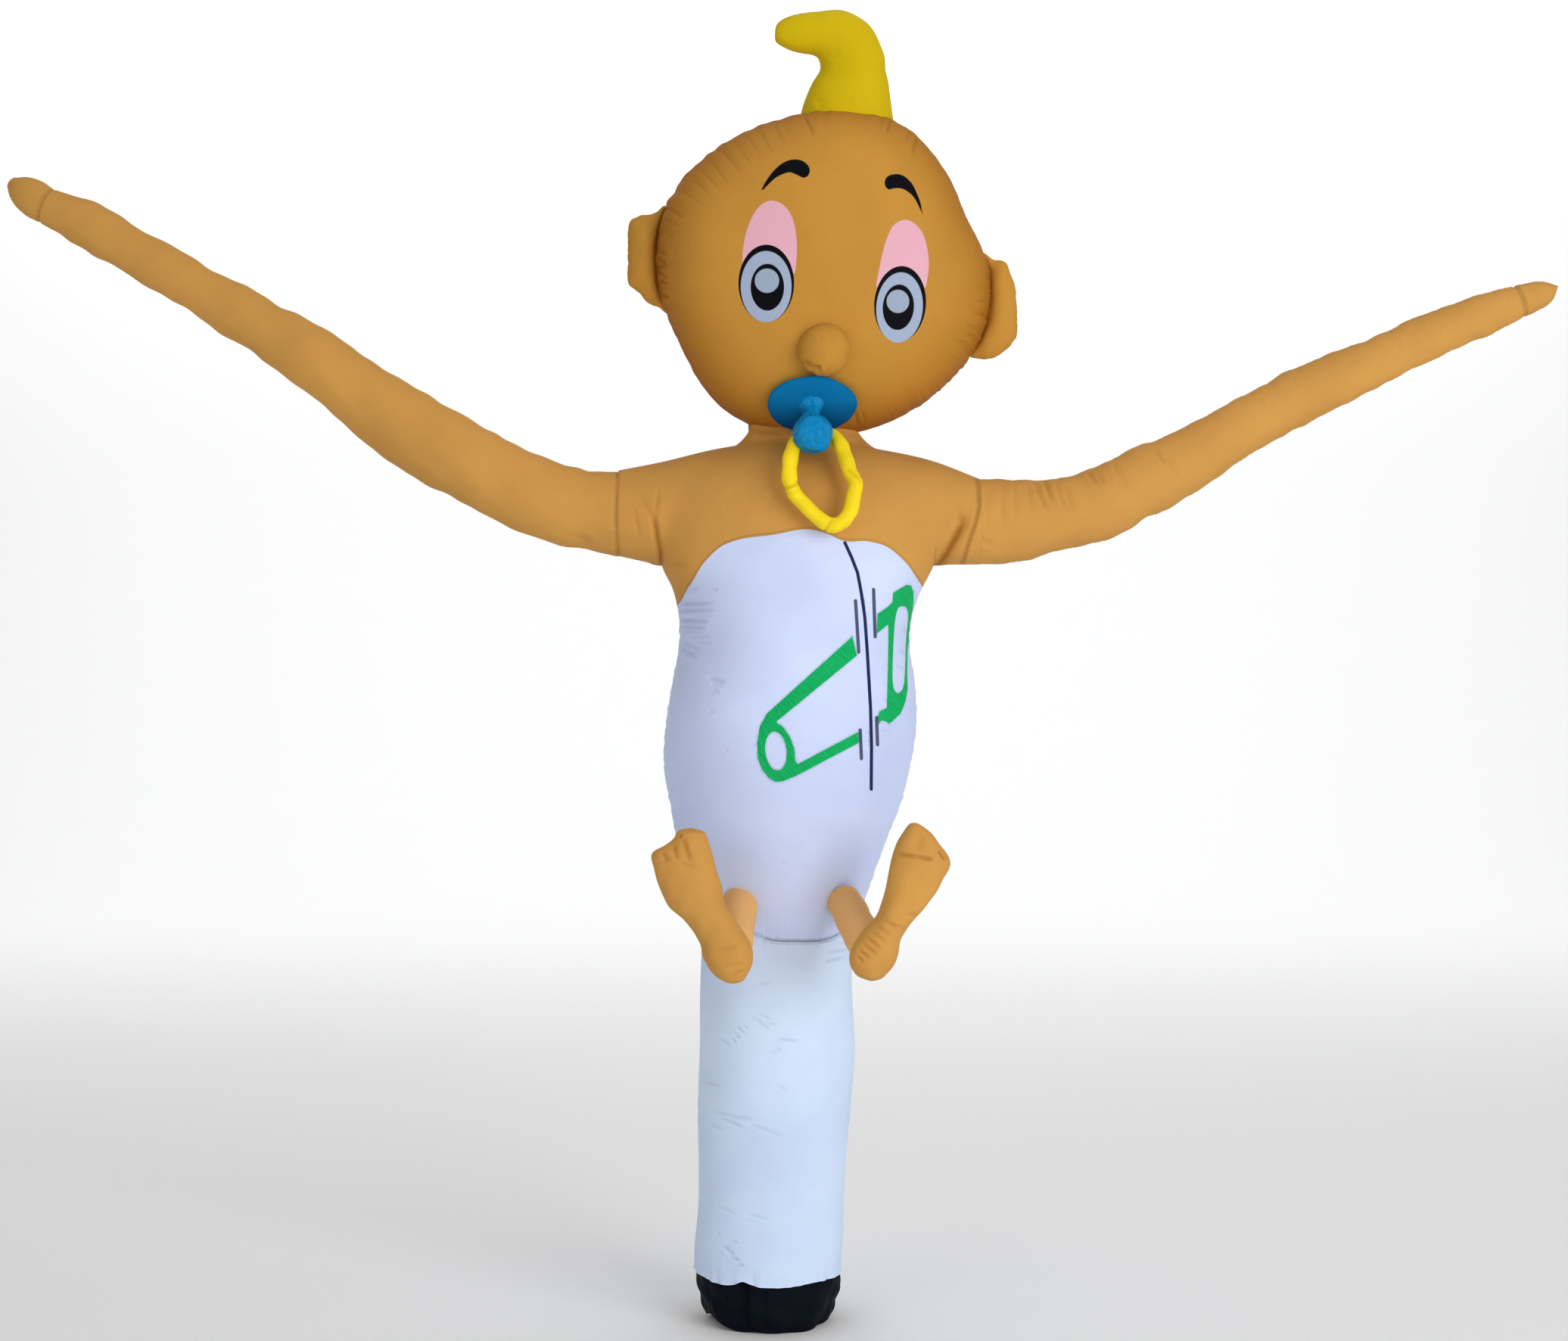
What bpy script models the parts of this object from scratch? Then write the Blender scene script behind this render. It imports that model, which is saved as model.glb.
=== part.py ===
"""Inflatable air dancer in the shape of a baby, standing on its open cuff.

Metres, +Z up. The figure faces -Y and its arms reach along X. Left and right are as seen from
the front. Every inflated piece is a thin cloth skin, open where the air passes into the next
piece, and the small stuffed pieces are filled solids.
"""

import math

import bmesh
import bpy
import numpy as np
from mathutils import Vector

CLOTH = 0.003
SEAM_GAP = 0.0003
HEM_GAP = 0.0008
MERGE = 0.0001
FRONT = -1
BACK = 1

# The figure's own axis stands this far from the middle of its footprint.
FIGURE_OFFSET = Vector((0.0, 0.1115, 0.0))

CUFF_SEAM = 0.135
MAST_SEAM = 1.165
# The cuff stands this far in front of the torso's axis, under the weight of the dummy and feet.
MAST_LEAN = 0.040
ARMPIT = 2.24
NECK_FOOT = 2.64
NECK_TOP = 2.72
NECK_MIDDLE = 0.061
NECK_HALF_WIDTH = 0.164

HEAD_MIDDLE = Vector((0.1165, 0.0, 3.1125))
HEAD_HALF_DEPTH = 0.30
HEAD_FULLNESS = 2.3
NECK_HOLE = (0.150, 0.072)
NECK_HOLE_DEPTH = 0.5

LEG_RADIUS = 0.052
HIP_CLEARANCE = 0.003
HIP_FORM_TOP = 1.9
HIP_HOLE_RADIUS = 0.045
# The air way runs from inside the body to this far past the middle of the leg, just into the foot.
AIR_WAY_REACH = 0.17
AIR_WAY_LENGTH = 1.0

NOSE_RADIUS = 0.076
NOSE_MIDDLE = Vector((0.120, -0.265, 2.852))

SHIELD_MIDDLE = Vector((0.085, -0.186, 2.702))
SHIELD_SIZE = (0.131, 0.104, 0.017)
SHIELD_TILT = math.radians(44)
KNOB_REACH = 0.135
KNOB_RADIUS = 0.0585
STEM_RADIUS = 0.020
RING_RADIUS = 0.0215


class Table:
    """Rows of named columns. A column is read anywhere along the first one, on a smooth curve."""

    def __init__(self, names, *rows):
        self.columns = dict(zip(names.split(), np.array(rows, float).T))
        self.knots = next(iter(self.columns.values()))

    def __call__(self, column, at):
        values = self.columns[column]
        slopes = np.gradient(values, self.knots)
        i = int(np.clip(np.searchsorted(self.knots, at) - 1, 0, len(values) - 2))
        span = self.knots[i + 1] - self.knots[i]
        t = min(max((at - self.knots[i]) / span, 0.0), 1.0)
        ahead = t * t * (3 - 2 * t)
        leaving = t * (1 - t) ** 2 * span * slopes[i]
        arriving = t * t * (t - 1) * span * slopes[i + 1]
        return float((1 - ahead) * values[i] + ahead * values[i + 1] + leaving + arriving)


CUFF = Table(
    "height middle radius fold",
    (0.000, -0.043, 0.176, 0.009),
    (0.040, -0.045, 0.194, 0.007),
    (0.090, -0.043, 0.208, 0.004),
    (0.135, -0.045, 0.214, 0.000),
)

MAST = Table(
    "height middle radius",
    (0.135, -0.045, 0.214),
    (0.200, -0.044, 0.220),
    (0.310, -0.036, 0.217),
    (0.450, -0.033, 0.217),
    (0.600, -0.028, 0.225),
    (0.860, -0.018, 0.229),
    (1.000, -0.019, 0.224),
    (1.165, -0.018, 0.222),
)

TORSO = Table(
    "height middle half_width half_depth",
    (1.165, -0.018, 0.222, 0.222),
    (1.260, -0.013, 0.266, 0.270),
    (1.350, -0.008, 0.294, 0.300),
    (1.440, -0.003, 0.320, 0.325),
    (1.530, 0.007, 0.344, 0.340),
    (1.620, 0.010, 0.362, 0.350),
    (1.800, 0.026, 0.374, 0.358),
    (1.900, 0.033, 0.362, 0.352),
    (1.990, 0.034, 0.345, 0.344),
    (2.080, 0.036, 0.347, 0.338),
    (2.170, 0.043, 0.372, 0.330),
    (2.240, 0.044, 0.405, 0.318),
    (2.350, 0.050, 0.400, 0.288),
    (2.450, 0.055, 0.370, 0.240),
    (2.550, 0.060, 0.290, 0.165),
    (2.600, 0.061, 0.200, 0.118),
    (2.640, 0.061, 0.164, 0.090),
    (2.720, 0.061, 0.164, 0.086),
)

# The arms and shoulders are one level tube through the chest, read along X.
SHOULDERS = Table(
    "along middle half_height half_depth",
    (-0.490, 2.397, 0.128, 0.128),
    (-0.361, 2.395, 0.155, 0.160),
    (-0.200, 2.395, 0.193, 0.195),
    (0.060, 2.400, 0.215, 0.215),
    (0.300, 2.395, 0.190, 0.195),
    (0.449, 2.396, 0.156, 0.160),
    (0.585, 2.372, 0.128, 0.128),
)

# Where the white cloth ends on the front, by the fraction of the way round from left to right.
NAPPY_FRONT_EDGE = Table(
    "across height",
    (0.00, 2.116),
    (0.05, 2.121),
    (0.10, 2.131),
    (0.16, 2.163),
    (0.22, 2.200),
    (0.27, 2.243),
    (0.32, 2.287),
    (0.36, 2.303),
    (0.44, 2.316),
    (0.525, 2.331),
    (0.565, 2.318),
    (0.60, 2.300),
    (0.66, 2.299),
    (0.71, 2.286),
    (0.77, 2.248),
    (0.84, 2.207),
    (0.91, 2.183),
    (1.00, 2.174),
)
NAPPY_BACK_EDGE = Table("across height", (0.0, 2.174), (0.5, 2.230), (1.0, 2.116))

LEFT_ARM = Table(
    "along x y z radius",
    (0.00, -0.4903, 0.000, 2.397, 0.128),
    (0.05, -0.580, 0.006, 2.403, 0.118),
    (0.10, -0.672, 0.012, 2.427, 0.118),
    (0.15, -0.765, 0.018, 2.462, 0.118),
    (0.20, -0.857, 0.025, 2.505, 0.113),
    (0.26, -0.950, 0.031, 2.553, 0.116),
    (0.31, -1.043, 0.038, 2.604, 0.117),
    (0.36, -1.134, 0.045, 2.659, 0.117),
    (0.41, -1.227, 0.052, 2.726, 0.105),
    (0.51, -1.412, 0.064, 2.862, 0.092),
    (0.61, -1.597, 0.075, 2.980, 0.081),
    (0.71, -1.782, 0.085, 3.092, 0.072),
    (0.79, -1.925, 0.091, 3.173, 0.071),
    (0.85, -2.050, 0.095, 3.246, 0.075),
    (0.90, -2.147, 0.098, 3.300, 0.066),
    (0.95, -2.236, 0.100, 3.338, 0.060),
    (0.98, -2.304, 0.102, 3.368, 0.046),
    (1.00, -2.349, 0.102, 3.388, 0.000),
)

RIGHT_ARM = Table(
    "along x y z radius",
    (0.00, 0.5853, 0.000, 2.372, 0.128),
    (0.06, 0.695, 0.014, 2.375, 0.119),
    (0.11, 0.787, 0.025, 2.387, 0.110),
    (0.16, 0.878, 0.036, 2.404, 0.108),
    (0.21, 0.969, 0.047, 2.436, 0.109),
    (0.27, 1.061, 0.056, 2.482, 0.101),
    (0.33, 1.153, 0.064, 2.526, 0.099),
    (0.38, 1.245, 0.072, 2.579, 0.089),
    (0.49, 1.429, 0.086, 2.683, 0.081),
    (0.55, 1.521, 0.091, 2.735, 0.084),
    (0.65, 1.705, 0.097, 2.820, 0.076),
    (0.76, 1.889, 0.100, 2.909, 0.065),
    (0.87, 2.073, 0.101, 2.985, 0.063),
    (0.92, 2.166, 0.102, 3.020, 0.058),
    (0.97, 2.264, 0.102, 3.055, 0.045),
    (0.99, 2.322, 0.102, 3.078, 0.028),
    (1.00, 2.349, 0.102, 3.092, 0.000),
)

# The head's seam, by the angle up from +X as seen from the front.
HEAD_OUTLINE = Table(
    "angle radius",
    (0, 0.503),
    (22, 0.462),
    (35, 0.474),
    (60, 0.498),
    (80, 0.492),
    (100, 0.478),
    (125, 0.484),
    (152, 0.506),
    (180, 0.495),
    (205, 0.474),
    (235, 0.500),
    (270, 0.486),
    (300, 0.488),
    (318, 0.497),
    (340, 0.514),
    (360, 0.503),
)

LEFT_EAR = Table(
    "angle radius",
    (-45, 0.120),
    (0, 0.110),
    (45, 0.130),
    (110, 0.112),
    (140, 0.128),
    (180, 0.104),
    (215, 0.124),
    (250, 0.118),
    (315, 0.120),
)
LEFT_EAR_MIDDLE = Vector((-0.360, 0.004, 3.160))
RIGHT_EAR_MIDDLE = Vector((0.590, 0.004, 2.995))
RIGHT_EAR = Table(
    "angle radius",
    (-45, 0.140),
    (0, 0.112),
    (40, 0.150),
    (75, 0.160),
    (180, 0.130),
    (260, 0.150),
    (315, 0.140),
)
EAR_HALF_DEPTH = 0.055

# The hair's two edges, from below the crown of the head to the curled tip.
HAIR = Table(
    "along inner_x inner_z outer_x outer_z half_depth",
    (0, 0.050, 3.520, 0.338, 3.480, 0.105),
    (1, 0.056, 3.597, 0.329, 3.570, 0.100),
    (2, 0.083, 3.673, 0.319, 3.673, 0.086),
    (3, 0.110, 3.719, 0.307, 3.719, 0.076),
    (4, 0.108, 3.753, 0.297, 3.776, 0.072),
    (5, 0.092, 3.768, 0.243, 3.866, 0.066),
    (6, 0.067, 3.772, 0.114, 3.896, 0.052),
    (7, 0.025, 3.783, 0.043, 3.891, 0.044),
    (8, -0.016, 3.803, -0.004, 3.872, 0.030),
    (9, -0.024, 3.838, -0.024, 3.840, 0.000),
)

# A foot from heel to toes: how far its middle lies to the inside, and its half width.
FOOT = Table(
    "along inside half_width half_depth",
    (0.000, 0.000, 0.000, 0.000),
    (0.012, 0.001, 0.034, 0.032),
    (0.042, 0.003, 0.058, 0.052),
    (0.084, 0.000, 0.069, 0.060),
    (0.147, -0.002, 0.064, 0.060),
    (0.221, -0.020, 0.067, 0.056),
    (0.305, -0.036, 0.082, 0.052),
    (0.368, -0.034, 0.084, 0.048),
    (0.412, -0.028, 0.072, 0.044),
    (0.440, -0.012, 0.042, 0.030),
    (0.450, 0.000, 0.000, 0.000),
)
FOOT_LENGTH = 0.450

# Side, hip on the torso, ankle behind the foot, heel and toe ends of the foot.
LEFT_LEG = (-1, Vector((-0.123, -0.20, 1.262)), Vector((-0.141, -0.50, 1.144)),
            Vector((-0.125, -0.520, 1.062)), Vector((-0.270, -0.520, 1.485)))
RIGHT_LEG = (1, Vector((0.180, -0.20, 1.262)), Vector((0.243, -0.50, 1.144)),
             Vector((0.243, -0.520, 1.064)), Vector((0.382, -0.520, 1.496)))

# The share of an arm's length over which it turns from the sleeve seam's axis to its own.
ARM_SETTLES = 0.12
PATH_STEP = 0.01
# The gathers round the cuff: each wave's share, its count and its phase.
CUFF_GATHERS = ((0.5, 5, 0.6), (0.3, 8, 2.1), (0.2, 3, 0.0))
HALVINGS = 30

# The dummy's ring, clockwise from behind the knob as seen from the front.
RING = Table(
    "along x y z",
    (0, 0.098, -0.236, 2.604),
    (1, 0.150, -0.246, 2.602),
    (2, 0.177, -0.278, 2.548),
    (3, 0.190, -0.305, 2.504),
    (4, 0.207, -0.325, 2.465),
    (5, 0.203, -0.340, 2.425),
    (6, 0.189, -0.354, 2.374),
    (7, 0.163, -0.360, 2.345),
    (8, 0.128, -0.360, 2.344),
    (9, 0.088, -0.355, 2.374),
    (10, 0.043, -0.341, 2.420),
    (11, 0.021, -0.326, 2.464),
    (12, 0.020, -0.302, 2.528),
    (13, 0.036, -0.268, 2.580),
    (14, 0.062, -0.240, 2.602),
    (15, 0.098, -0.236, 2.604),
)


def clear_scene():
    for item in list(bpy.data.objects):
        bpy.data.objects.remove(item)


def new_collection(name):
    made = bpy.data.collections.new(name)
    bpy.context.scene.collection.children.link(made)
    return made


def material(name, colour, roughness):
    made = bpy.data.materials.new(name)
    made.use_nodes = True
    shader = made.node_tree.nodes["Principled BSDF"]
    shader.inputs["Base Color"].default_value = (*colour, 1.0)
    shader.inputs["Roughness"].default_value = roughness
    return made


def stretch_grid(mesh, columns, rows, place):
    """Adds a grid primitive and moves its points: place(across, up) gets fractions from 0 to 1."""
    made = bmesh.ops.create_grid(mesh, x_segments=columns, y_segments=rows, size=0.5)
    for point in made["verts"]:
        point.co = place(point.co.x + 0.5, point.co.y + 0.5)


def finish_mesh(mesh, name, group, cloth):
    bmesh.ops.remove_doubles(mesh, verts=mesh.verts, dist=MERGE)
    data = bpy.data.meshes.new(name)
    mesh.to_mesh(data)
    mesh.free()
    made = bpy.data.objects.new(name, data)
    made.location = FIGURE_OFFSET
    group.objects.link(made)
    if cloth is not None:
        data.materials.append(cloth)
    data.shade_smooth()
    return made


def piece_from_grids(name, group, cloth, *grids):
    """One object from grids that share edges, each given as (columns, rows, place)."""
    mesh = bmesh.new()
    for columns, rows, place in grids:
        stretch_grid(mesh, columns, rows, place)
    return finish_mesh(mesh, name, group, cloth)


def give_thickness(piece, keep_inside):
    """Turns an open skin into a wall that grows inwards, and flattens its rims on the seam planes.

    keep_inside(point) returns the point moved back to its own side of the seams.
    """
    wall = piece.modifiers.new("Wall", "SOLIDIFY")
    wall.thickness = CLOTH
    wall.offset = -1
    wall.use_even_offset = True
    bpy.context.view_layer.update()
    evaluated = piece.evaluated_get(bpy.context.evaluated_depsgraph_get())
    thick = bpy.data.meshes.new_from_object(evaluated)
    thin = piece.data
    piece.modifiers.remove(wall)
    piece.data = thick
    bpy.data.meshes.remove(thin)
    thick.name = piece.name
    for point in thick.vertices:
        point.co = keep_inside(point.co)
    thick.update()


def cut(piece, cutter):
    knife = piece.modifiers.new("Cut " + cutter.name, "BOOLEAN")
    knife.operation = "DIFFERENCE"
    knife.solver = "EXACT"
    knife.object = cutter


def as_cutter(shape):
    shape.hide_render = True
    shape.display_type = "WIRE"
    return shape


def clamp(value, low=-1e9, high=1e9):
    return min(max(value, low), high)


def seam_side(side):
    """Keeps a front or back panel on its own side of the side seam."""
    half_gap = SEAM_GAP / 2

    def inside(point):
        if side == FRONT:
            return Vector((point.x, clamp(point.y, high=-half_gap), point.z))
        return Vector((point.x, clamp(point.y, low=half_gap), point.z))

    return inside


def between(low, high, fraction):
    return low + (high - low) * fraction


def eased(fraction):
    """Fractions that crowd towards both ends, where an inflated edge turns fastest."""
    return (1 - math.cos(math.pi * fraction)) / 2


def mast_forward(height):
    """How far forward of the torso's axis the tube's own axis is at a height."""
    return -MAST_LEAN * (1 - height / MAST_SEAM) ** 1.5


def cuff_point(around, up):
    """Round sleeve that draws in to its hem, with soft uneven gathers."""
    angle = 2 * math.pi * around
    height = CUFF_SEAM * up
    waves = sum(share * math.sin(count * angle + phase) for share, count, phase in CUFF_GATHERS)
    radius = CUFF("radius", height) + CUFF("fold", height) * waves
    middle = Vector((CUFF("middle", height), mast_forward(height), height))
    return middle + radius * Vector((math.cos(angle), math.sin(angle), 0))


def mast_point(around, up):
    angle = 2 * math.pi * around
    height = between(CUFF_SEAM + SEAM_GAP, MAST_SEAM, up)
    middle = Vector((MAST("middle", height), mast_forward(height), height))
    return middle + MAST("radius", height) * Vector((math.cos(angle), math.sin(angle), 0))


def build_cuff_and_mast(group, black, white):
    cuff = piece_from_grids("base_cuff", group, black, (44, 4, cuff_point))
    give_thickness(cuff, lambda p: Vector((p.x, p.y, 0.0 if p.z < 2 * CLOTH else min(p.z, CUFF_SEAM))))
    mast = piece_from_grids("mast_tube", group, white, (32, 9, mast_point))
    low, high = CUFF_SEAM + SEAM_GAP, MAST_SEAM
    give_thickness(mast, lambda p: Vector((p.x, p.y, clamp(p.z, low, high))))


def torso_depth(x, height):
    """Half depth of the barrel alone: an ellipse across it at every height."""
    offset = (x - TORSO("middle", height)) / TORSO("half_width", height)
    return TORSO("half_depth", height) * math.sqrt(max(0.0, 1 - offset * offset))


def shoulder_depth(x, height):
    """Half depth of the level tube of the shoulders alone."""
    offset = (height - SHOULDERS("middle", x)) / SHOULDERS("half_height", x)
    return SHOULDERS("half_depth", x) * math.sqrt(max(0.0, 1 - offset * offset))


def chest_depth(x, height):
    """The barrel and the shoulder tube run together with a soft crease, as a fourth-power sum."""
    return (torso_depth(x, height) ** 4 + shoulder_depth(x, height) ** 4) ** 0.25


def shoulder_line(x):
    """The highest point of the chest's outline at x, found by halving, and at most the neck's foot."""
    low, high = SHOULDERS("middle", x), NECK_FOOT
    if chest_depth(x, high) > 0 or abs(abs(x - NECK_MIDDLE) - NECK_HALF_WIDTH) < MERGE:
        return high
    for _ in range(HALVINGS):
        middle = (low + high) / 2
        if chest_depth(x, middle) > MERGE / 2:
            low = middle
        else:
            high = middle
    return low


def torso_x(across, height):
    return TORSO("middle", height) - TORSO("half_width", height) * math.cos(math.pi * across)


def barrel_point(side, across, height):
    """A point of the torso's front or back half, below the arms. across runs from left to right."""
    x = torso_x(across, height)
    own = TORSO("half_depth", height) * math.sin(math.pi * across)
    depth = (own ** 4 + shoulder_depth(x, height) ** 4) ** 0.25 if 0 < across < 1 else 0.0
    return Vector((x, side * depth, height))


def nappy_grid(side, edge):
    """The white half of the barrel, from the mast's seam to the edge curve."""

    def place(fraction, up):
        across = fraction if side == FRONT else 1 - fraction
        return barrel_point(side, across, between(MAST_SEAM + SEAM_GAP, edge("height", fraction), up))

    return place


def neck_fraction(across, first, last):
    """Where a column meets the top line, so that the neck's two edges fall on whole columns."""
    left, right = NECK_MIDDLE - NECK_HALF_WIDTH, NECK_MIDDLE + NECK_HALF_WIDTH
    if across < first:
        return between(SHOULDERS.knots[1], left, across / first)
    if across > last:
        return between(right, SHOULDERS.knots[-2], (across - last) / (1 - last))
    return between(left, right, eased((across - first) / (last - first)))


CHEST_COLUMNS = 16
NECK_FROM = 5 / CHEST_COLUMNS
NECK_TO = 11 / CHEST_COLUMNS


def chest_grids(side, edge):
    """The skin-coloured half of the torso, in blocks that share their edge points."""
    armpit_rise = 0.155

    def armpit_line(across):
        return ARMPIT + armpit_rise * math.sin(math.pi * across)

    def cloth_point(x, height):
        depth = chest_depth(x, height)
        return Vector((x, side * (depth if depth > MERGE else 0.0), height))

    def facing(fraction):
        return fraction if side == FRONT else 1 - fraction

    def below(fraction, up):
        across = facing(fraction)
        hem = edge("height", fraction) + HEM_GAP
        return barrel_point(side, across, between(hem, armpit_line(across), up))

    def above(fraction, up):
        across = facing(fraction)
        foot_height = armpit_line(across)
        foot = torso_x(across, foot_height)
        top = neck_fraction(across, NECK_FROM, NECK_TO)
        x = between(foot, top, up)
        height = between(foot_height, shoulder_line(top), eased(up))
        if up == 0 and across in (0, 1):
            return Vector((x, 0, height))
        return cloth_point(x, height)

    def neck(fraction, up):
        across = between(NECK_FROM, NECK_TO, facing(fraction))
        x = neck_fraction(across, NECK_FROM, NECK_TO)
        return cloth_point(x, between(NECK_FOOT, NECK_TOP, up))

    def stub(across, seam_x):
        inner_foot = torso_x(across, ARMPIT)
        inner_top = SHOULDERS.knots[1] if across == 0 else SHOULDERS.knots[-2]

        def place(fraction, up):
            outward = facing(fraction) if across == 1 else 1 - facing(fraction)
            x = between(between(inner_foot, inner_top, up), seam_x, outward)
            low = SHOULDERS("middle", x) - SHOULDERS("half_height", x)
            low = between(ARMPIT, low, min(1.0, outward * 3))
            height = between(low, shoulder_line(x), eased(up))
            depth = chest_depth(x, height) if 0 < up < 1 else 0.0
            return Vector((x, side * depth, height))

        return place

    neck_columns = round((NECK_TO - NECK_FROM) * CHEST_COLUMNS)
    return (
        (CHEST_COLUMNS, 2, below),
        (CHEST_COLUMNS, 8, above),
        (neck_columns, 1, neck),
        (3, 8, stub(0, SHOULDERS.knots[0])),
        (3, 8, stub(1, SHOULDERS.knots[-1])),
    )


def build_torso(group, white, skin):
    pieces = {}
    for word, side, edge in (("front", FRONT, NAPPY_FRONT_EDGE), ("back", BACK, NAPPY_BACK_EDGE)):
        on_side = seam_side(side)
        nappy = piece_from_grids("nappy_" + word, group, white, (CHEST_COLUMNS, 11, nappy_grid(side, edge)))
        give_thickness(nappy, lambda p: on_side(Vector((p.x, p.y, clamp(p.z, MAST_SEAM + SEAM_GAP)))))
        chest = piece_from_grids("chest_" + word, group, skin, *chest_grids(side, edge))
        left, right = SHOULDERS.knots[0], SHOULDERS.knots[-1]
        give_thickness(chest, lambda p: on_side(Vector((clamp(p.x, left, right), p.y, p.z))))
        pieces["nappy_" + word] = nappy
        pieces["chest_" + word] = chest
    return pieces


def tube_point(table, axis, around, along):
    """A round section across the path at one of its points. axis turns from the seam's own."""
    here = Vector(table(name, along) for name in ("x", "y", "z"))
    ahead = Vector(table(name, min(1.0, along + PATH_STEP)) for name in ("x", "y", "z"))
    behind = Vector(table(name, max(0.0, along - PATH_STEP)) for name in ("x", "y", "z"))
    direction = (ahead - behind).normalized()
    settle = min(1.0, along / ARM_SETTLES)
    direction = (axis * (1 - settle) + direction * settle).normalized()
    sideways = direction.cross(Vector((0, 0, 1))).normalized()
    upward = sideways.cross(direction).normalized()
    angle = 2 * math.pi * around
    radius = max(table("radius", along), 0.0)
    return here + radius * (math.cos(angle) * sideways + math.sin(angle) * upward)


def build_arms(group, skin):
    for name, table, axis, edge in (
        ("arm_left", LEFT_ARM, Vector((-1, 0, 0)), SHOULDERS.knots[0] - SEAM_GAP),
        ("arm_right", RIGHT_ARM, Vector((1, 0, 0)), SHOULDERS.knots[-1] + SEAM_GAP),
    ):
        def place(around, up, table=table, axis=axis):
            along = math.sin(up * math.pi / 2) if up > 0.5 else up * math.sqrt(2)
            return tube_point(table, axis, -around, along)

        arm = piece_from_grids(name, group, skin, (16, 20, place))
        if axis.x < 0:
            give_thickness(arm, lambda p, e=edge: Vector((clamp(p.x, high=e), p.y, p.z)))
        else:
            give_thickness(arm, lambda p, e=edge: Vector((clamp(p.x, low=e), p.y, p.z)))


def head_point(around, outward, side, grow=0.0):
    """Two round panels blown out from their seam. outward is 0 at the middle and 1 at the seam."""
    angle = 2 * math.pi * around
    reach = (HEAD_OUTLINE("radius", math.degrees(angle)) + grow) * outward
    rise = (HEAD_HALF_DEPTH + grow) * math.sqrt(max(0.0, 1 - outward ** HEAD_FULLNESS))
    offset = Vector((reach * math.cos(angle), side * rise, reach * math.sin(angle)))
    return HEAD_MIDDLE + offset


def panel_reach(fraction):
    """Rings that crowd towards the seam."""
    return math.sin(fraction * math.pi / 2)


def build_head_panels(group, skin, neck_cutter):
    for word, side in (("front", FRONT), ("back", BACK)):
        def place(fraction, up, side=side):
            around = fraction if side == FRONT else 1 - fraction
            return head_point(around, panel_reach(1 - up), side)

        panel = piece_from_grids("head_" + word, group, skin, (32, 8, place))
        give_thickness(panel, seam_side(side))
        cut(panel, neck_cutter)


def closed_head(name, group, grow):
    """The head's whole outer form as one closed shape, a little larger, to trim what meets it."""

    def place(around, up):
        side = FRONT if up > 0.5 else BACK
        return head_point(around, panel_reach(1 - abs(2 * up - 1)), side, grow)

    return as_cutter(piece_from_grids(name, group, None, (32, 16, place)))


def pillow(name, group, cloth, middle, outline, half_depth, columns=18):
    """A filled pillow with the outline of a table of angles and radii."""

    def place(around, up):
        angle = 2 * math.pi * around
        lean = math.pi * (up - 0.5)
        degrees = math.degrees(angle)
        if degrees > 315:
            degrees -= 360
        reach = outline("radius", degrees) * math.cos(lean)
        rise = -half_depth * math.sin(lean)
        return middle + Vector((reach * math.cos(angle), rise, reach * math.sin(angle)))

    return piece_from_grids(name, group, cloth, (columns, 8, place))


def ball(name, group, cloth, middle, radius, segments, rings):
    mesh = bmesh.new()
    bmesh.ops.create_uvsphere(mesh, u_segments=segments, v_segments=rings, radius=radius)
    bmesh.ops.translate(mesh, verts=mesh.verts, vec=middle)
    return finish_mesh(mesh, name, group, cloth)


def hair_point(around, up):
    """Flattened sections between the hair's two edges, from the crown to the tip."""
    along = up * HAIR.knots[-1]
    inner = Vector((HAIR("inner_x", along), 0, HAIR("inner_z", along)))
    outer = Vector((HAIR("outer_x", along), 0, HAIR("outer_z", along)))
    angle = 2 * math.pi * around
    middle = (inner + outer) / 2
    depth = max(HAIR("half_depth", along), 0.0)
    return middle + (outer - inner) / 2 * math.cos(angle) + Vector((0, depth * math.sin(angle), 0))


def build_head(group, knives, skin, yellow):
    mesh = bmesh.new()
    bmesh.ops.create_cone(mesh, cap_ends=True, segments=24, radius1=1, radius2=1, depth=NECK_HOLE_DEPTH)
    bmesh.ops.scale(mesh, verts=mesh.verts, vec=Vector((*NECK_HOLE, 1)))
    bmesh.ops.translate(mesh, verts=mesh.verts, vec=Vector((NECK_MIDDLE, 0, NECK_FOOT)))
    neck_cutter = as_cutter(finish_mesh(mesh, "neck_hole", knives, None))
    build_head_panels(group, skin, neck_cutter)
    head_form = closed_head("head_form", knives, SEAM_GAP)

    left = pillow("ear_left", group, skin, LEFT_EAR_MIDDLE, LEFT_EAR, EAR_HALF_DEPTH)
    right = pillow("ear_right", group, skin, RIGHT_EAR_MIDDLE, RIGHT_EAR, EAR_HALF_DEPTH)
    nose = ball("nose", group, skin, NOSE_MIDDLE, NOSE_RADIUS, 16, 10)
    hair = piece_from_grids("hair_tuft", group, yellow, (14, 14, hair_point))
    give_thickness(hair, lambda p: p)
    for trimmed in (left, right, nose, hair):
        cut(trimmed, head_form)
    return head_form


def leg_grid(hip, ankle):
    """A straight round sleeve from inside the torso to inside the foot."""
    direction = (ankle - hip).normalized()
    sideways = direction.cross(Vector((0, 0, 1))).normalized()
    upward = sideways.cross(direction).normalized()

    def place(around, up):
        angle = -2 * math.pi * around
        rim = LEG_RADIUS * (math.cos(angle) * sideways + math.sin(angle) * upward)
        return hip.lerp(ankle, up) + rim

    return place


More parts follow.
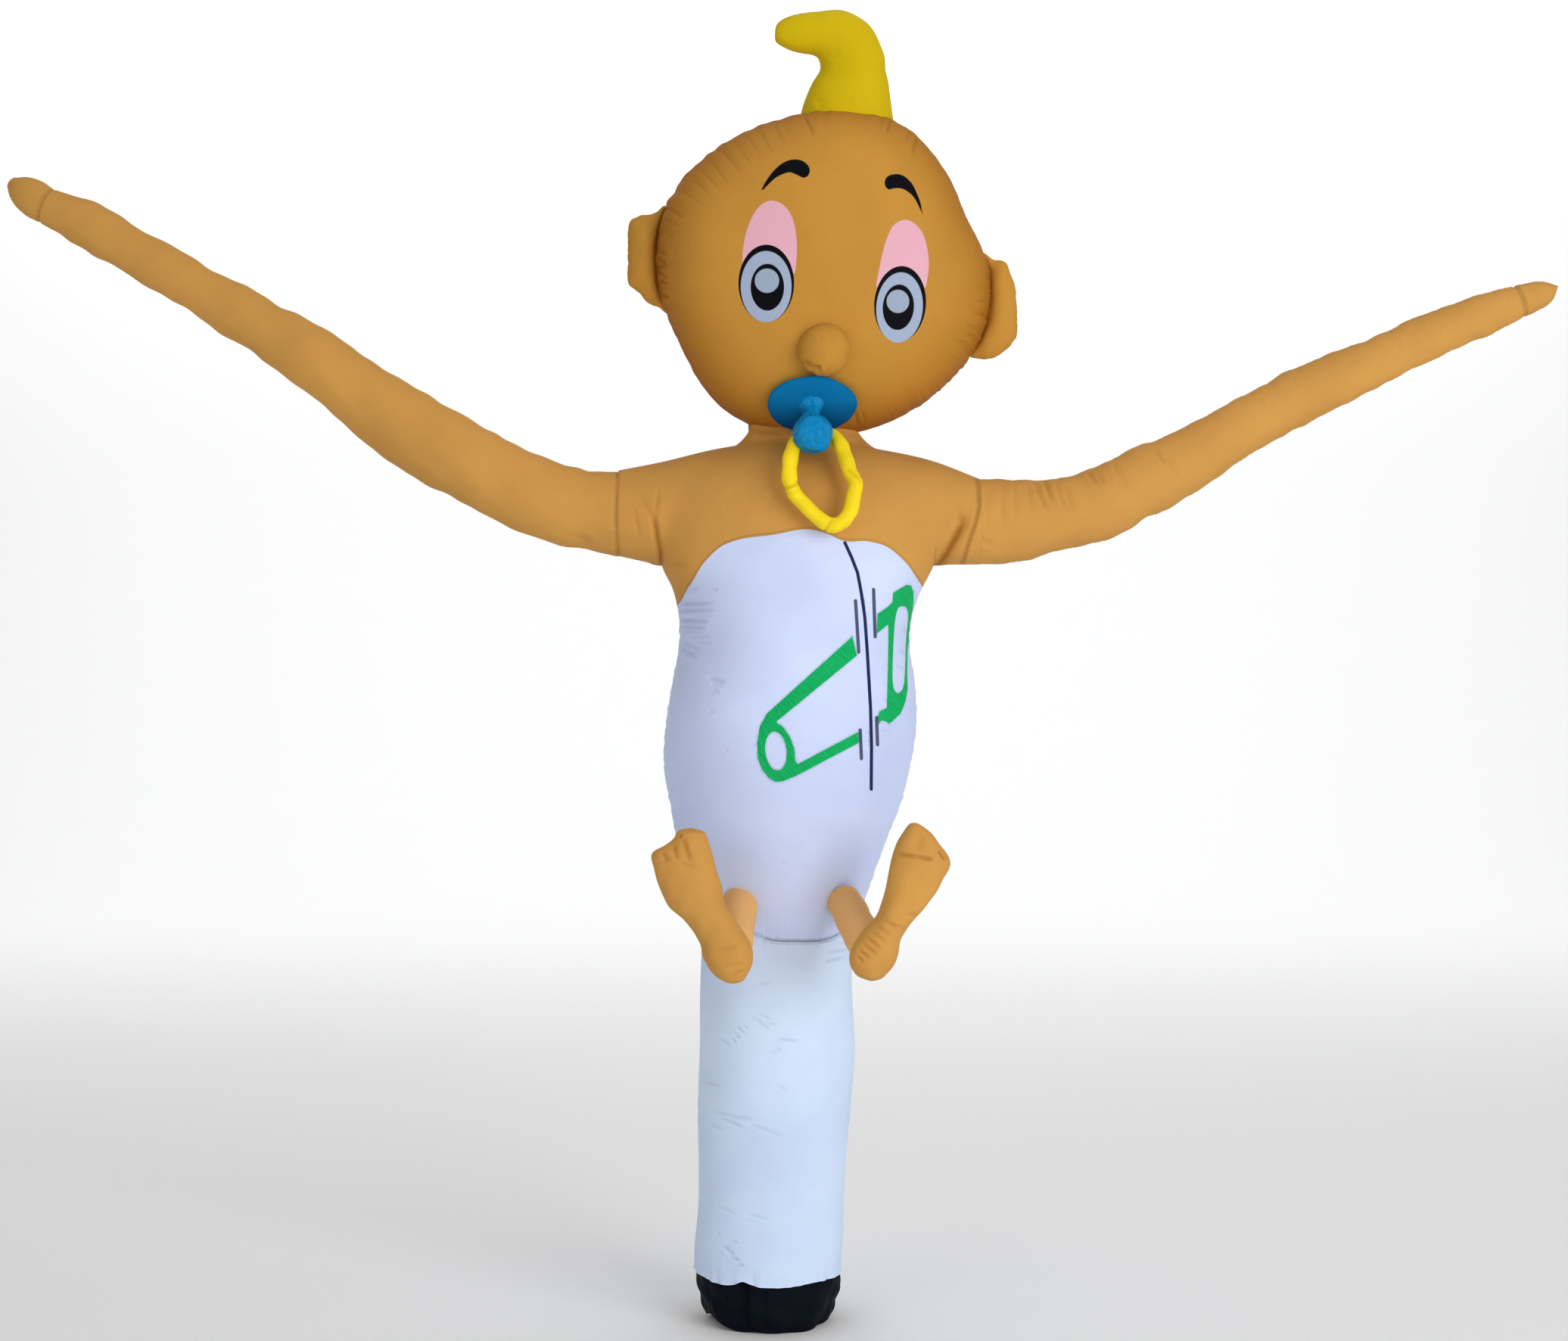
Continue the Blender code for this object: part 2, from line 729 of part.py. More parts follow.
def foot_grid(side, heel, toe, grow=0.0):
    """Flattened sections from heel to toes. The big toe reaches furthest, on the inner side."""
    direction = (toe - heel).normalized()
    outward = Vector((side * direction.z, 0, -side * direction.x)).normalized()
    scale = (toe - heel).length / FOOT_LENGTH

    def place(around, up):
        along = FOOT_LENGTH * eased(up)
        angle = side * 2 * math.pi * around
        half_width = max(FOOT("half_width", along), 0.0)
        half_depth = max(FOOT("half_depth", along), 0.0)
        if 0 < up < 1:
            half_width += grow
            half_depth += grow
        sole = half_depth * math.sin(angle)
        offset = outward * (half_width * math.cos(angle) - FOOT("inside", along))
        reach = along * scale + grow * (2 * up - 1)
        return heel + direction * reach + offset + Vector((0, sole, 0))

    return place


def build_legs(group, knives, skin, nappy_front):
    form_rows = 12

    def barrel(around, up):
        """The torso's outside at the hips. Its first and last rows close it at a point."""
        angle = 2 * math.pi * around
        height = between(MAST_SEAM, HIP_FORM_TOP, clamp((up * form_rows - 1) / (form_rows - 2), 0, 1))
        reach = 0.0 if up in (0, 1) else 1.0
        x = (TORSO("half_width", height) + HIP_CLEARANCE) * math.cos(angle) * reach
        y = (TORSO("half_depth", height) + HIP_CLEARANCE) * math.sin(angle) * reach
        return Vector((TORSO("middle", height) + x, y, height))

    torso_form = as_cutter(
        piece_from_grids("torso_form", knives, None, (2 * CHEST_COLUMNS, form_rows, barrel))
    )
    for word, (side, hip, ankle, heel, toe) in (("left", LEFT_LEG), ("right", RIGHT_LEG)):
        leg = piece_from_grids("leg_" + word, group, skin, (14, 3, leg_grid(hip, ankle)))
        give_thickness(leg, lambda p: p)
        foot_form = piece_from_grids(
            "foot_form_" + word, knives, None, (18, 12, foot_grid(side, heel, toe, SEAM_GAP))
        )
        cut(leg, torso_form)
        cut(leg, as_cutter(foot_form))

        foot = piece_from_grids("foot_" + word, group, skin, (18, 12, foot_grid(side, heel, toe)))
        give_thickness(foot, lambda p: p)
        mesh = bmesh.new()
        bmesh.ops.create_cone(
            mesh, cap_ends=True, segments=16, depth=AIR_WAY_LENGTH,
            radius1=HIP_HOLE_RADIUS, radius2=HIP_HOLE_RADIUS,
        )
        direction = (ankle - hip).normalized()
        mesh.transform(direction.to_track_quat("Z", "Y").to_matrix().to_4x4())
        middle = hip.lerp(ankle, 0.5) + direction * (AIR_WAY_REACH - AIR_WAY_LENGTH / 2)
        bmesh.ops.translate(mesh, verts=mesh.verts, vec=middle)
        air_way = as_cutter(finish_mesh(mesh, "air_way_" + word, knives, None))
        cut(nappy_front, air_way)
        cut(foot, air_way)


def build_dummy(group, knives, blue, yellow, head_form):
    """The dummy at the mouth: an oval shield, a knob on a short stem, and a hanging ring."""
    facing = Vector((0, -math.cos(SHIELD_TILT), -math.sin(SHIELD_TILT)))
    upright = Vector((0, -math.sin(SHIELD_TILT), math.cos(SHIELD_TILT)))
    sideways = Vector((1, 0, 0))

    def shield_grid(grow):
        def place(around, up):
            angle = 2 * math.pi * around
            lean = math.pi * (up - 0.5)
            flat = math.cos(lean)
            across = sideways * (SHIELD_SIZE[0] + grow) * flat * math.cos(angle)
            tall = upright * (SHIELD_SIZE[1] + grow) * flat * math.sin(angle)
            return SHIELD_MIDDLE + across + tall + facing * (SHIELD_SIZE[2] + grow) * math.sin(lean)

        return place

    shield = piece_from_grids("dummy_shield", group, blue, (22, 8, shield_grid(0.0)))
    cut(shield, head_form)
    shield_form = as_cutter(piece_from_grids("shield_form", knives, None, (22, 8, shield_grid(SEAM_GAP))))

    def knob_grid(grow):
        rows = Table(
            "up reach radius",
            (0.00, 0.000, 0.000),
            (0.01, 0.000, STEM_RADIUS * 0.9),
            (0.15, 0.030, STEM_RADIUS),
            (0.30, 0.064, STEM_RADIUS * 1.05),
            (0.42, 0.088, KNOB_RADIUS * 0.72),
            (0.55, 0.112, KNOB_RADIUS * 0.95),
            (0.68, KNOB_REACH, KNOB_RADIUS),
            (0.82, KNOB_REACH + KNOB_RADIUS * 0.62, KNOB_RADIUS * 0.80),
            (0.93, KNOB_REACH + KNOB_RADIUS * 0.92, KNOB_RADIUS * 0.42),
            (1.00, KNOB_REACH + KNOB_RADIUS, 0.000),
        )

        def place(around, up):
            angle = 2 * math.pi * around
            radius = max(rows("radius", up), 0.0) + (grow if 0 < up < 1 else 0.0)
            rim = radius * (math.cos(angle) * sideways + math.sin(angle) * upright)
            return SHIELD_MIDDLE + facing * (rows("reach", up) + grow * (2 * up - 1)) + rim

        return place

    knob = piece_from_grids("dummy_knob", group, blue, (16, 14, knob_grid(0.0)))
    cut(knob, shield_form)
    knob_form = as_cutter(piece_from_grids("knob_form", knives, None, (16, 14, knob_grid(SEAM_GAP))))

    def ring_grid(around, up):
        last = RING.knots[-1]
        along = (up % 1.0) * last
        here = Vector(RING(name, along) for name in ("x", "y", "z"))
        ahead = Vector(RING(name, (along + 0.1) % last) for name in ("x", "y", "z"))
        behind = Vector(RING(name, (along - 0.1) % last) for name in ("x", "y", "z"))
        direction = (ahead - behind).normalized()
        outward = direction.cross(Vector((0, 1, 0))).normalized()
        across = outward.cross(direction).normalized()
        angle = -2 * math.pi * around
        return here + RING_RADIUS * (math.cos(angle) * outward + math.sin(angle) * across)

    ring = piece_from_grids("dummy_ring", group, yellow, (8, 30, ring_grid))
    cut(ring, knob_form)


def main():
    clear_scene()
    dancer = new_collection("baby_air_dancer")
    knives = new_collection("cutters")
    skin = material("skin_nylon", (0.50, 0.27, 0.07), 0.62)
    white = material("white_nylon", (0.74, 0.78, 0.93), 0.60)
    black = material("black_nylon", (0.012, 0.013, 0.016), 0.65)
    yellow = material("yellow_nylon", (0.80, 0.62, 0.02), 0.55)
    blue = material("blue_nylon", (0.01, 0.20, 0.50), 0.50)

    build_cuff_and_mast(dancer, black, white)
    torso = build_torso(dancer, white, skin)
    build_arms(dancer, skin)
    head_form = build_head(dancer, knives, skin, yellow)
    cut(torso["chest_front"], head_form)
    cut(torso["chest_back"], head_form)
    build_legs(dancer, knives, skin, torso["nappy_front"])
    build_dummy(dancer, knives, blue, yellow, head_form)


main()
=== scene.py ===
"""Looks of the inflatable air dancer: its cloth skins, prints and sewing, the floor, light and camera.

Shapes are laid out from the plane of the side seams, with +Z up and the front facing -Y. Left and
right are as seen from the front. Every length is in metres.
"""

import math
from functools import partial

import bmesh
import bpy
import numpy as np
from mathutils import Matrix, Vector


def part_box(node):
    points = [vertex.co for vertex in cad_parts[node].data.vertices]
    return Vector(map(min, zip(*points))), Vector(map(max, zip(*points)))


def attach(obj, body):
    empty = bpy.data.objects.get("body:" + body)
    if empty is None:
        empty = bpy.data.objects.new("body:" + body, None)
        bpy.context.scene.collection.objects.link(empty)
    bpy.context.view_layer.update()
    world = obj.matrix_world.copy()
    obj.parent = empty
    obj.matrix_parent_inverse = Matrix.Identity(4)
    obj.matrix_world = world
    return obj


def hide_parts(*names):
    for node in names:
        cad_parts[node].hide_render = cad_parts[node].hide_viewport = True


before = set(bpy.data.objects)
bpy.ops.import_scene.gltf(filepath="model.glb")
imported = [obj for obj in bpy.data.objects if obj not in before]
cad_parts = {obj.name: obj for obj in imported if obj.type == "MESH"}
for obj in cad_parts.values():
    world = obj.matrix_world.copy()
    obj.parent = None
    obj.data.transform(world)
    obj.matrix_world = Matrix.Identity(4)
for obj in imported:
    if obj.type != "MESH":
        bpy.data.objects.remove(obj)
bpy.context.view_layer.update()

FRONT = -1
BACK = 1
SEAM_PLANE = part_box("head_front")[1][1]
# Where the viewer stands, from the seam plane: prints and creases are laid out as seen from here.
EYE = np.array((0.0034, -7.5, 1.927))
VIEW_WIDTH = 4.687

MAST_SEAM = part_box("nappy_front")[0][2]
MAST_LEAN = 0.040
ARMPIT = 2.24
ARMPIT_RISE = 0.155
NECK_FOOT = 2.64
NECK_TOP = 2.72
NECK_MIDDLE = 0.061
NECK_HALF_WIDTH = 0.164
# The neck's part of the chest's columns.
NECK_FROM = 5 / 16
NECK_TO = 11 / 16
ARM_LENGTH = 2.25
# About how far from the middle of each round piece its seam runs.
CUFF_SEAM_RADIUS = 0.20
MAST_SEAM_RADIUS = 0.22
ARM_SEAM_RADIUS = 0.12
EAR_SEAM_RADIUS = 0.12
HEAD_SEAM_RADIUS = 0.49
HEAD_MIDDLE = np.array((0.1165, 0.0, 3.1125))
HEAD_HALF_DEPTH = 0.30
HEAD_FULLNESS = 2.3
LEFT_EAR_MIDDLE = (-0.360, 0.004, 3.160)
RIGHT_EAR_MIDDLE = (0.590, 0.004, 2.995)
EAR_HALF_DEPTH = 0.060
EAR_PINCH = 0.060
NOSE_MIDDLE = (0.120, -0.265, 2.852)
NOSE_RADIUS = 0.076
FOOT_DEPTH = -0.520
LEG_RADIUS = 0.052
LEGS = {
    "leg_left": ((-0.123, -0.235, 1.255), (-0.141, -0.500, 1.144)),
    "leg_right": ((0.180, -0.215, 1.255), (0.243, -0.500, 1.144)),
}
# The dummy's shield: its half width, half height and half thickness, and how far it tips down.
SHIELD_MIDDLE = np.array((0.085, -0.186, 2.702))
SHIELD_SIZE = (0.131, 0.104, 0.017)
SHIELD_TILT = math.radians(44)
SHIELD_FACING = np.array((0, -math.cos(SHIELD_TILT), -math.sin(SHIELD_TILT)))
SHIELD_UP = np.array((0, -math.sin(SHIELD_TILT), math.cos(SHIELD_TILT)))
SIDEWAYS = np.array((1.0, 0, 0))
RING_RADIUS = 0.0215
FOLD_HALF_WIDTH = 0.0050
STITCH_HALF_WIDTH = 0.0052
GATHER_PITCH = 0.013
GATHER_LENGTH = 0.11
PIN_RIPPLE_PITCH = 0.009
PIN_RIPPLE_LENGTH = 0.07
PRINT_BLEED = 0.0009
STITCH_INSET = 0.007
STITCH_LENGTH = 0.006
STITCH_SHARE = 0.62
THREAD_HALF_WIDTH = 0.0010
# How dark the painted shade in troughs and turned-under parts gets.
PAINTED_SHADE_TINT = 0.58
THREAD_PITCH = 0.0013
# How far apart the bands of a wave texture are at a scale of one.
WAVE_BAND = 0.314


class Table:
    """Rows of named columns. A column is read anywhere along the first one, on a smooth curve."""

    def __init__(self, names, *rows):
        self.columns = dict(zip(names.split(), np.array(rows, float).T))
        self.knots = next(iter(self.columns.values()))

    def __call__(self, column, at):
        values = self.columns[column]
        slopes = np.gradient(values, self.knots)
        i = np.clip(np.searchsorted(self.knots, at) - 1, 0, len(values) - 2)
        span = self.knots[i + 1] - self.knots[i]
        t = np.clip((at - self.knots[i]) / span, 0, 1)
        ahead = t * t * (3 - 2 * t)
        leaving = t * (1 - t) ** 2 * span * slopes[i]
        arriving = t * t * (t - 1) * span * slopes[i + 1]
        return (1 - ahead) * values[i] + ahead * values[i + 1] + leaving + arriving

    def place(self, at):
        return np.stack([self(column, at) for column in "xyz"], axis=-1)


CUFF = Table(
    "height middle radius fold",
    (0, -0.043, 0.176, 0.009), (0.04, -0.045, 0.194, 0.007), (0.09, -0.043, 0.208, 0.004),
    (0.15, -0.045, 0.214, 0),
)
# The wavy seam between the cuff and the tube, by the angle from +X through the back.
CUFF_EDGE = Table(
    "angle height",
    (0, 0.138), (60, 0.144), (120, 0.147), (180, 0.152), (212, 0.149), (230, 0.142), (243, 0.146),
    (251, 0.158), (259, 0.148), (276, 0.142), (310, 0.147), (360, 0.138),
)
HEM_EDGE = Table(
    "angle height",
    (0, 0), (40, 0.004), (90, 0), (165, 0.004), (192, 0.024), (212, 0.036), (226, 0.018),
    (236, 0.005), (262, 0.004), (285, 0), (330, 0.002), (360, 0),
)
MAST = Table(
    "height middle radius",
    (0.135, -0.045, 0.214), (0.2, -0.044, 0.22), (0.31, -0.036, 0.217), (0.45, -0.033, 0.217),
    (0.6, -0.028, 0.225), (0.86, -0.018, 0.229), (1, -0.019, 0.224), (1.165, -0.018, 0.222),
)
# The seam between the tube and the body, which hangs lowest at the front.
WAIST_EDGE = Table(
    "angle height",
    (0, 1.168), (180, 1.174), (225, 1.18), (243, 1.176), (251, 1.166), (262, 1.148), (285, 1.139),
    (307, 1.139), (322, 1.148), (334, 1.16), (360, 1.168),
)
TORSO = Table(
    "height middle half_width half_depth",
    (1.135, -0.018, 0.218, 0.216), (1.165, -0.018, 0.226, 0.226), (1.26, -0.013, 0.266, 0.27),
    (1.35, -0.008, 0.294, 0.3), (1.44, -0.003, 0.32, 0.325), (1.53, 0.007, 0.344, 0.34),
    (1.62, 0.01, 0.362, 0.35), (1.8, 0.026, 0.374, 0.358), (1.9, 0.033, 0.362, 0.352),
    (1.99, 0.034, 0.345, 0.344), (2.08, 0.036, 0.347, 0.338), (2.17, 0.043, 0.372, 0.33),
    (2.24, 0.044, 0.405, 0.318), (2.35, 0.05, 0.4, 0.288), (2.45, 0.055, 0.37, 0.24),
    (2.55, 0.06, 0.29, 0.165), (2.6, 0.061, 0.2, 0.118), (2.64, 0.061, 0.164, 0.09),
    (2.72, 0.061, 0.164, 0.086),
)
SHOULDERS = Table(
    "along middle half_height half_depth",
    (-0.49, 2.397, 0.128, 0.128), (-0.361, 2.395, 0.155, 0.16), (-0.2, 2.395, 0.193, 0.195),
    (0.06, 2.4, 0.215, 0.215), (0.3, 2.395, 0.19, 0.195), (0.449, 2.396, 0.156, 0.16),
    (0.585, 2.372, 0.128, 0.128),
)
# Where the white cloth ends, by the fraction of the way round each half.
NAPPY_FRONT_EDGE = Table(
    "across height",
    (0, 2.116), (0.05, 2.121), (0.1, 2.131), (0.16, 2.163), (0.22, 2.2), (0.27, 2.243),
    (0.32, 2.287), (0.36, 2.303), (0.44, 2.316), (0.525, 2.331), (0.565, 2.318), (0.6, 2.3),
    (0.66, 2.299), (0.71, 2.286), (0.77, 2.248), (0.84, 2.207), (0.91, 2.183), (1, 2.174),
)
NAPPY_BACK_EDGE = Table("across height", (0.0, 2.174), (0.5, 2.230), (1.0, 2.116))
# Each half of the body: its side, its name, how much finer than the back its grid is, and its edge.
HALVES = ((FRONT, "front", 2, NAPPY_FRONT_EDGE), (BACK, "back", 1, NAPPY_BACK_EDGE))
LEFT_ARM = Table(
    "along x y z radius",
    (0, -0.4903, 0, 2.397, 0.128), (0.05, -0.58, 0.006, 2.403, 0.118),
    (0.1, -0.672, 0.012, 2.427, 0.118), (0.15, -0.765, 0.018, 2.462, 0.118),
    (0.2, -0.857, 0.025, 2.505, 0.113), (0.26, -0.95, 0.031, 2.553, 0.116),
    (0.31, -1.043, 0.038, 2.604, 0.117), (0.36, -1.134, 0.045, 2.659, 0.117),
    (0.41, -1.227, 0.052, 2.726, 0.105), (0.51, -1.412, 0.064, 2.862, 0.092),
    (0.61, -1.597, 0.075, 2.98, 0.081), (0.71, -1.782, 0.085, 3.092, 0.072),
    (0.79, -1.925, 0.091, 3.173, 0.071), (0.85, -2.05, 0.095, 3.246, 0.075),
    (0.9, -2.147, 0.098, 3.3, 0.066), (0.95, -2.236, 0.1, 3.338, 0.06),
    (0.97, -2.27, 0.101, 3.357, 0.057), (0.982, -2.299, 0.102, 3.377, 0.048),
    (0.991, -2.32, 0.102, 3.392, 0.035), (0.996, -2.332, 0.102, 3.401, 0.023),
    (0.999, -2.34, 0.102, 3.408, 0.012), (1, -2.343, 0.102, 3.411, 0),
)
RIGHT_ARM = Table(
    "along x y z radius",
    (0, 0.5853, 0, 2.372, 0.128), (0.06, 0.695, 0.014, 2.375, 0.119),
    (0.11, 0.787, 0.025, 2.387, 0.11), (0.16, 0.878, 0.036, 2.404, 0.108),
    (0.21, 0.969, 0.047, 2.436, 0.109), (0.27, 1.061, 0.056, 2.482, 0.101),
    (0.33, 1.153, 0.064, 2.526, 0.099), (0.38, 1.245, 0.072, 2.579, 0.089),
    (0.49, 1.429, 0.086, 2.683, 0.081), (0.55, 1.521, 0.091, 2.735, 0.084),
    (0.65, 1.705, 0.097, 2.82, 0.076), (0.76, 1.889, 0.1, 2.909, 0.065),
    (0.87, 2.073, 0.101, 2.985, 0.063), (0.92, 2.166, 0.102, 3.02, 0.058),
    (0.97, 2.264, 0.102, 3.055, 0.045), (0.99, 2.322, 0.102, 3.078, 0.028),
    (1, 2.349, 0.102, 3.092, 0),
)
HEAD_OUTLINE = Table(
    "angle radius",
    (0, 0.503), (22, 0.462), (35, 0.474), (60, 0.498), (80, 0.492), (100, 0.478), (125, 0.484),
    (152, 0.506), (180, 0.495), (205, 0.474), (235, 0.5), (270, 0.486), (300, 0.488), (318, 0.497),
    (340, 0.514), (360, 0.503),
)
LEFT_EAR = Table(
    "angle radius",
    (-45, 0.12), (0, 0.1), (45, 0.112), (75, 0.14), (88, 0.157), (97, 0.139), (104, 0.135),
    (120, 0.142), (132, 0.146), (141, 0.132), (156, 0.112), (175, 0.103), (192, 0.106),
    (208, 0.118), (218, 0.126), (232, 0.1245), (241, 0.128), (249, 0.138), (267, 0.151),
    (276, 0.168), (290, 0.15), (315, 0.12),
)
RIGHT_EAR = Table(
    "angle radius",
    (-45, 0.131), (-33, 0.128), (-24, 0.1215), (-11, 0.114), (5, 0.1115), (20, 0.1165), (33, 0.126),
    (41, 0.135), (51, 0.146), (57, 0.157), (62, 0.168), (68, 0.169), (77, 0.166), (87, 0.183),
    (110, 0.15), (180, 0.12), (264, 0.135), (284, 0.138), (300, 0.1345), (315, 0.131),
)
# The curl's two edges as seen from the front, from the crown to the tip, and its half depth.
HAIR_EDGES = Table(
    "along left_x left_z right_x right_z half_depth",
    (0, 0.05, 3.52, 0.338, 3.48, 0.105), (1, 0.056, 3.597, 0.329, 3.57, 0.1),
    (2, 0.083, 3.673, 0.319, 3.673, 0.086), (3, 0.11, 3.719, 0.307, 3.719, 0.076),
    (4, 0.108, 3.753, 0.297, 3.776, 0.072), (5, 0.092, 3.768, 0.243, 3.866, 0.066),
    (5.6, 0.078, 3.771, 0.176, 3.898, 0.059), (6.1, 0.064, 3.772, 0.108, 3.895, 0.052),
    (7, 0.025, 3.781, 0.043, 3.889, 0.044), (7.9, -0.012, 3.801, -0.002, 3.871, 0.032),
    (8.6, -0.0225, 3.816, -0.02, 3.85, 0.018), (9, -0.0235, 3.833, -0.0235, 3.835, 0),
)
# A foot's two edges as seen from the front, from heel to toes, and the half depth of the sole.
LEFT_FOOT = Table(
    "along left_x left_z right_x right_z half_depth",
    (0, -0.15, 0.993, -0.15, 0.993, 0), (0.4, -0.176, 1, -0.122, 0.999, 0.026),
    (1, -0.2, 1.013, -0.103, 1.022, 0.042), (2, -0.236, 1.065, -0.089, 1.063, 0.058),
    (3, -0.248, 1.115, -0.094, 1.108, 0.06), (4, -0.291, 1.181, -0.135, 1.172, 0.06),
    (5, -0.334, 1.217, -0.173, 1.233, 0.058), (6, -0.363, 1.267, -0.184, 1.289, 0.055),
    (7, -0.383, 1.33, -0.2, 1.344, 0.053), (8, -0.388, 1.382, -0.214, 1.387, 0.05),
    (8.6, -0.352, 1.402, -0.22, 1.412, 0.045), (9.2, -0.326, 1.425, -0.226, 1.431, 0.038),
    (9.7, -0.308, 1.45, -0.24, 1.448, 0.024), (10, -0.276, 1.459, -0.276, 1.459, 0),
)
RIGHT_FOOT = Table(
    "along left_x left_z right_x right_z half_depth",
    (0, 0.262, 1, 0.262, 1, 0), (0.4, 0.232, 1.008, 0.292, 1.006, 0.026),
    (1, 0.21, 1.03, 0.318, 1.03, 0.042), (2, 0.2, 1.08, 0.345, 1.078, 0.058),
    (3, 0.225, 1.13, 0.356, 1.13, 0.06), (4, 0.28, 1.196, 0.388, 1.178, 0.06),
    (5, 0.303, 1.265, 0.436, 1.232, 0.058), (6, 0.318, 1.328, 0.474, 1.296, 0.055),
    (7, 0.329, 1.382, 0.497, 1.34, 0.053), (8, 0.343, 1.42, 0.49, 1.378, 0.05),
    (8.7, 0.358, 1.444, 0.467, 1.41, 0.044), (9.3, 0.372, 1.462, 0.443, 1.44, 0.034),
    (9.7, 0.384, 1.47, 0.42, 1.46, 0.022), (10, 0.402, 1.47, 0.402, 1.47, 0),
)
KNOB = Table(
    "up reach radius",
    (0, 0, 0), (0.01, 0, 0.018), (0.15, 0.03, 0.02), (0.3, 0.064, 0.021), (0.42, 0.088, 0.042),
    (0.55, 0.112, 0.0556), (0.68, 0.135, 0.0585), (0.82, 0.171, 0.0468), (0.93, 0.189, 0.0246),
    (1, 0.1935, 0),
)
RING = Table(
    "along x y z",
    (0, 0.098, -0.236, 2.604), (1, 0.15, -0.246, 2.602), (2, 0.177, -0.278, 2.548),
    (3, 0.19, -0.305, 2.504), (4, 0.207, -0.325, 2.465), (5, 0.203, -0.34, 2.425),
    (6, 0.189, -0.354, 2.374), (7, 0.163, -0.36, 2.345), (8, 0.128, -0.36, 2.344),
    (9, 0.088, -0.355, 2.374), (10, 0.043, -0.341, 2.42), (11, 0.021, -0.326, 2.464),
    (12, 0.02, -0.302, 2.528), (13, 0.036, -0.268, 2.58), (14, 0.062, -0.24, 2.602),
    (15, 0.098, -0.236, 2.604),
)

# Outlines of the printed face, as the points of closed smooth curves.
LEFT_LID = (
    (-0.121, 3.146), (-0.121, 3.16), (-0.119, 3.185), (-0.112, 3.228), (-0.096, 3.274),
    (-0.074, 3.31), (-0.048, 3.329), (-0.025, 3.331), (0.001, 3.319), (0.024, 3.29), (0.037, 3.248),
    (0.042, 3.196), (0.04, 3.151), (0.0375, 3.125), (0.035, 3.114), (0.024, 3.11), (-0.044, 3.086),
    (-0.1, 3.12), (-0.118, 3.138),
)
RIGHT_LID = (
    (0.2795, 3.079), (0.281, 3.092), (0.287, 3.122), (0.297, 3.17), (0.31, 3.216), (0.329, 3.255),
    (0.352, 3.271), (0.374, 3.273), (0.397, 3.26), (0.417, 3.235), (0.43, 3.196), (0.436, 3.151),
    (0.434, 3.112), (0.4295, 3.086), (0.427, 3.075), (0.416, 3.066), (0.352, 3.027), (0.3, 3.05),
    (0.283, 3.07),
)
LEFT_BROW = (
    (-0.066, 3.357), (-0.054, 3.384), (-0.031, 3.417), (-0.005, 3.441), (0.021, 3.453),
    (0.047, 3.454), (0.066, 3.446), (0.079, 3.431), (0.08, 3.416), (0.073, 3.404), (0.06, 3.4),
    (0.043, 3.408), (0.021, 3.416), (-0.002, 3.41), (-0.025, 3.397), (-0.048, 3.375),
)
RIGHT_BROW = (
    (0.42, 3.286), (0.411, 3.326), (0.4, 3.355), (0.387, 3.381), (0.368, 3.401), (0.349, 3.41),
    (0.329, 3.41), (0.313, 3.404), (0.305, 3.391), (0.306, 3.375), (0.316, 3.365), (0.332, 3.368),
    (0.352, 3.368), (0.371, 3.36), (0.391, 3.342), (0.407, 3.313),
)
# The eyes' ellipses: the part, its middle, its half width and height, and its lean in degrees.
EYES = {
    "eye_rim": ((-0.0495, 3.0843, 0.0831, 0.1156, 0), (0.3504, 3.0227, 0.0773, 0.1136, 4.6)),
    "eye_white": ((-0.05, 3.0746, 0.076, 0.1063, 0), (0.3488, 3.0123, 0.0695, 0.105, 4.6)),
    "eye_iris": ((-0.0463, 3.0727, 0.05, 0.0701, 0), (0.3452, 3.0129, 0.0467, 0.0682, 4.6)),
    "eye_light": ((-0.0476, 3.0921, 0.0364, 0.0364, 0), (0.3439, 3.0304, 0.0338, 0.0348, 0)),
}
# The printed nappy pin: its wire with the coil on the left of the fold, and its clasp on the right.
PIN_WIRE = (
    (0.208, 2.03), (0.222, 1.972), (-0.02, 1.773), (0.003, 1.756), (0.022, 1.727), (0.035, 1.692),
    (0.038, 1.655), (0.045, 1.648), (0.226, 1.744), (0.23, 1.712), (0.038, 1.611), (0.003, 1.597),
    (-0.02, 1.593), (-0.043, 1.606), (-0.063, 1.632), (-0.076, 1.666), (-0.077, 1.712),
    (-0.07, 1.759), (-0.048, 1.799),
)
PIN_COIL_HOLE = (-0.0208, 1.6864, 0.0317, 0.0577, -6.0)
PIN_CLASP = (
    (0.282, 2.096), (0.312, 2.117), (0.327, 2.131), (0.329, 2.16), (0.37, 2.184), (0.384, 2.18),
    (0.391, 2.162), (0.391, 2.128), (0.384, 2.082), (0.379, 2.024), (0.373, 1.989), (0.372, 1.914),
    (0.374, 1.874), (0.367, 1.834), (0.353, 1.799), (0.332, 1.779), (0.318, 1.767), (0.306, 1.775),
    (0.295, 1.777), (0.285, 1.764), (0.283, 1.79), (0.289, 1.805), (0.31, 1.816), (0.314, 1.955),
    (0.315, 2.047), (0.314, 2.064), (0.28, 2.036),
)
PIN_SLOT = (
    (0.344, 2.111), (0.335, 2.07), (0.33, 1.989), (0.328, 1.903), (0.334, 1.868), (0.347, 1.86),
    (0.36, 1.88), (0.365, 1.932), (0.368, 2.018), (0.374, 2.087), (0.37, 2.111), (0.358, 2.119),
)
FOLD_LINE = (
    (0.184, 2.312), (0.205, 2.266), (0.223, 2.22), (0.234, 2.162), (0.245, 2.087), (0.252, 1.989),
    (0.257, 1.903), (0.262, 1.816), (0.265, 1.701), (0.264, 1.568),
)
PIN_STITCHES = (
    ((0.217, 2.139), (0.227, 1.978)),
    ((0.271, 2.173), (0.276, 2.024)),
    ((0.231, 1.753), (0.235, 1.659)),
    ((0.28, 1.79), (0.283, 1.701)),
)

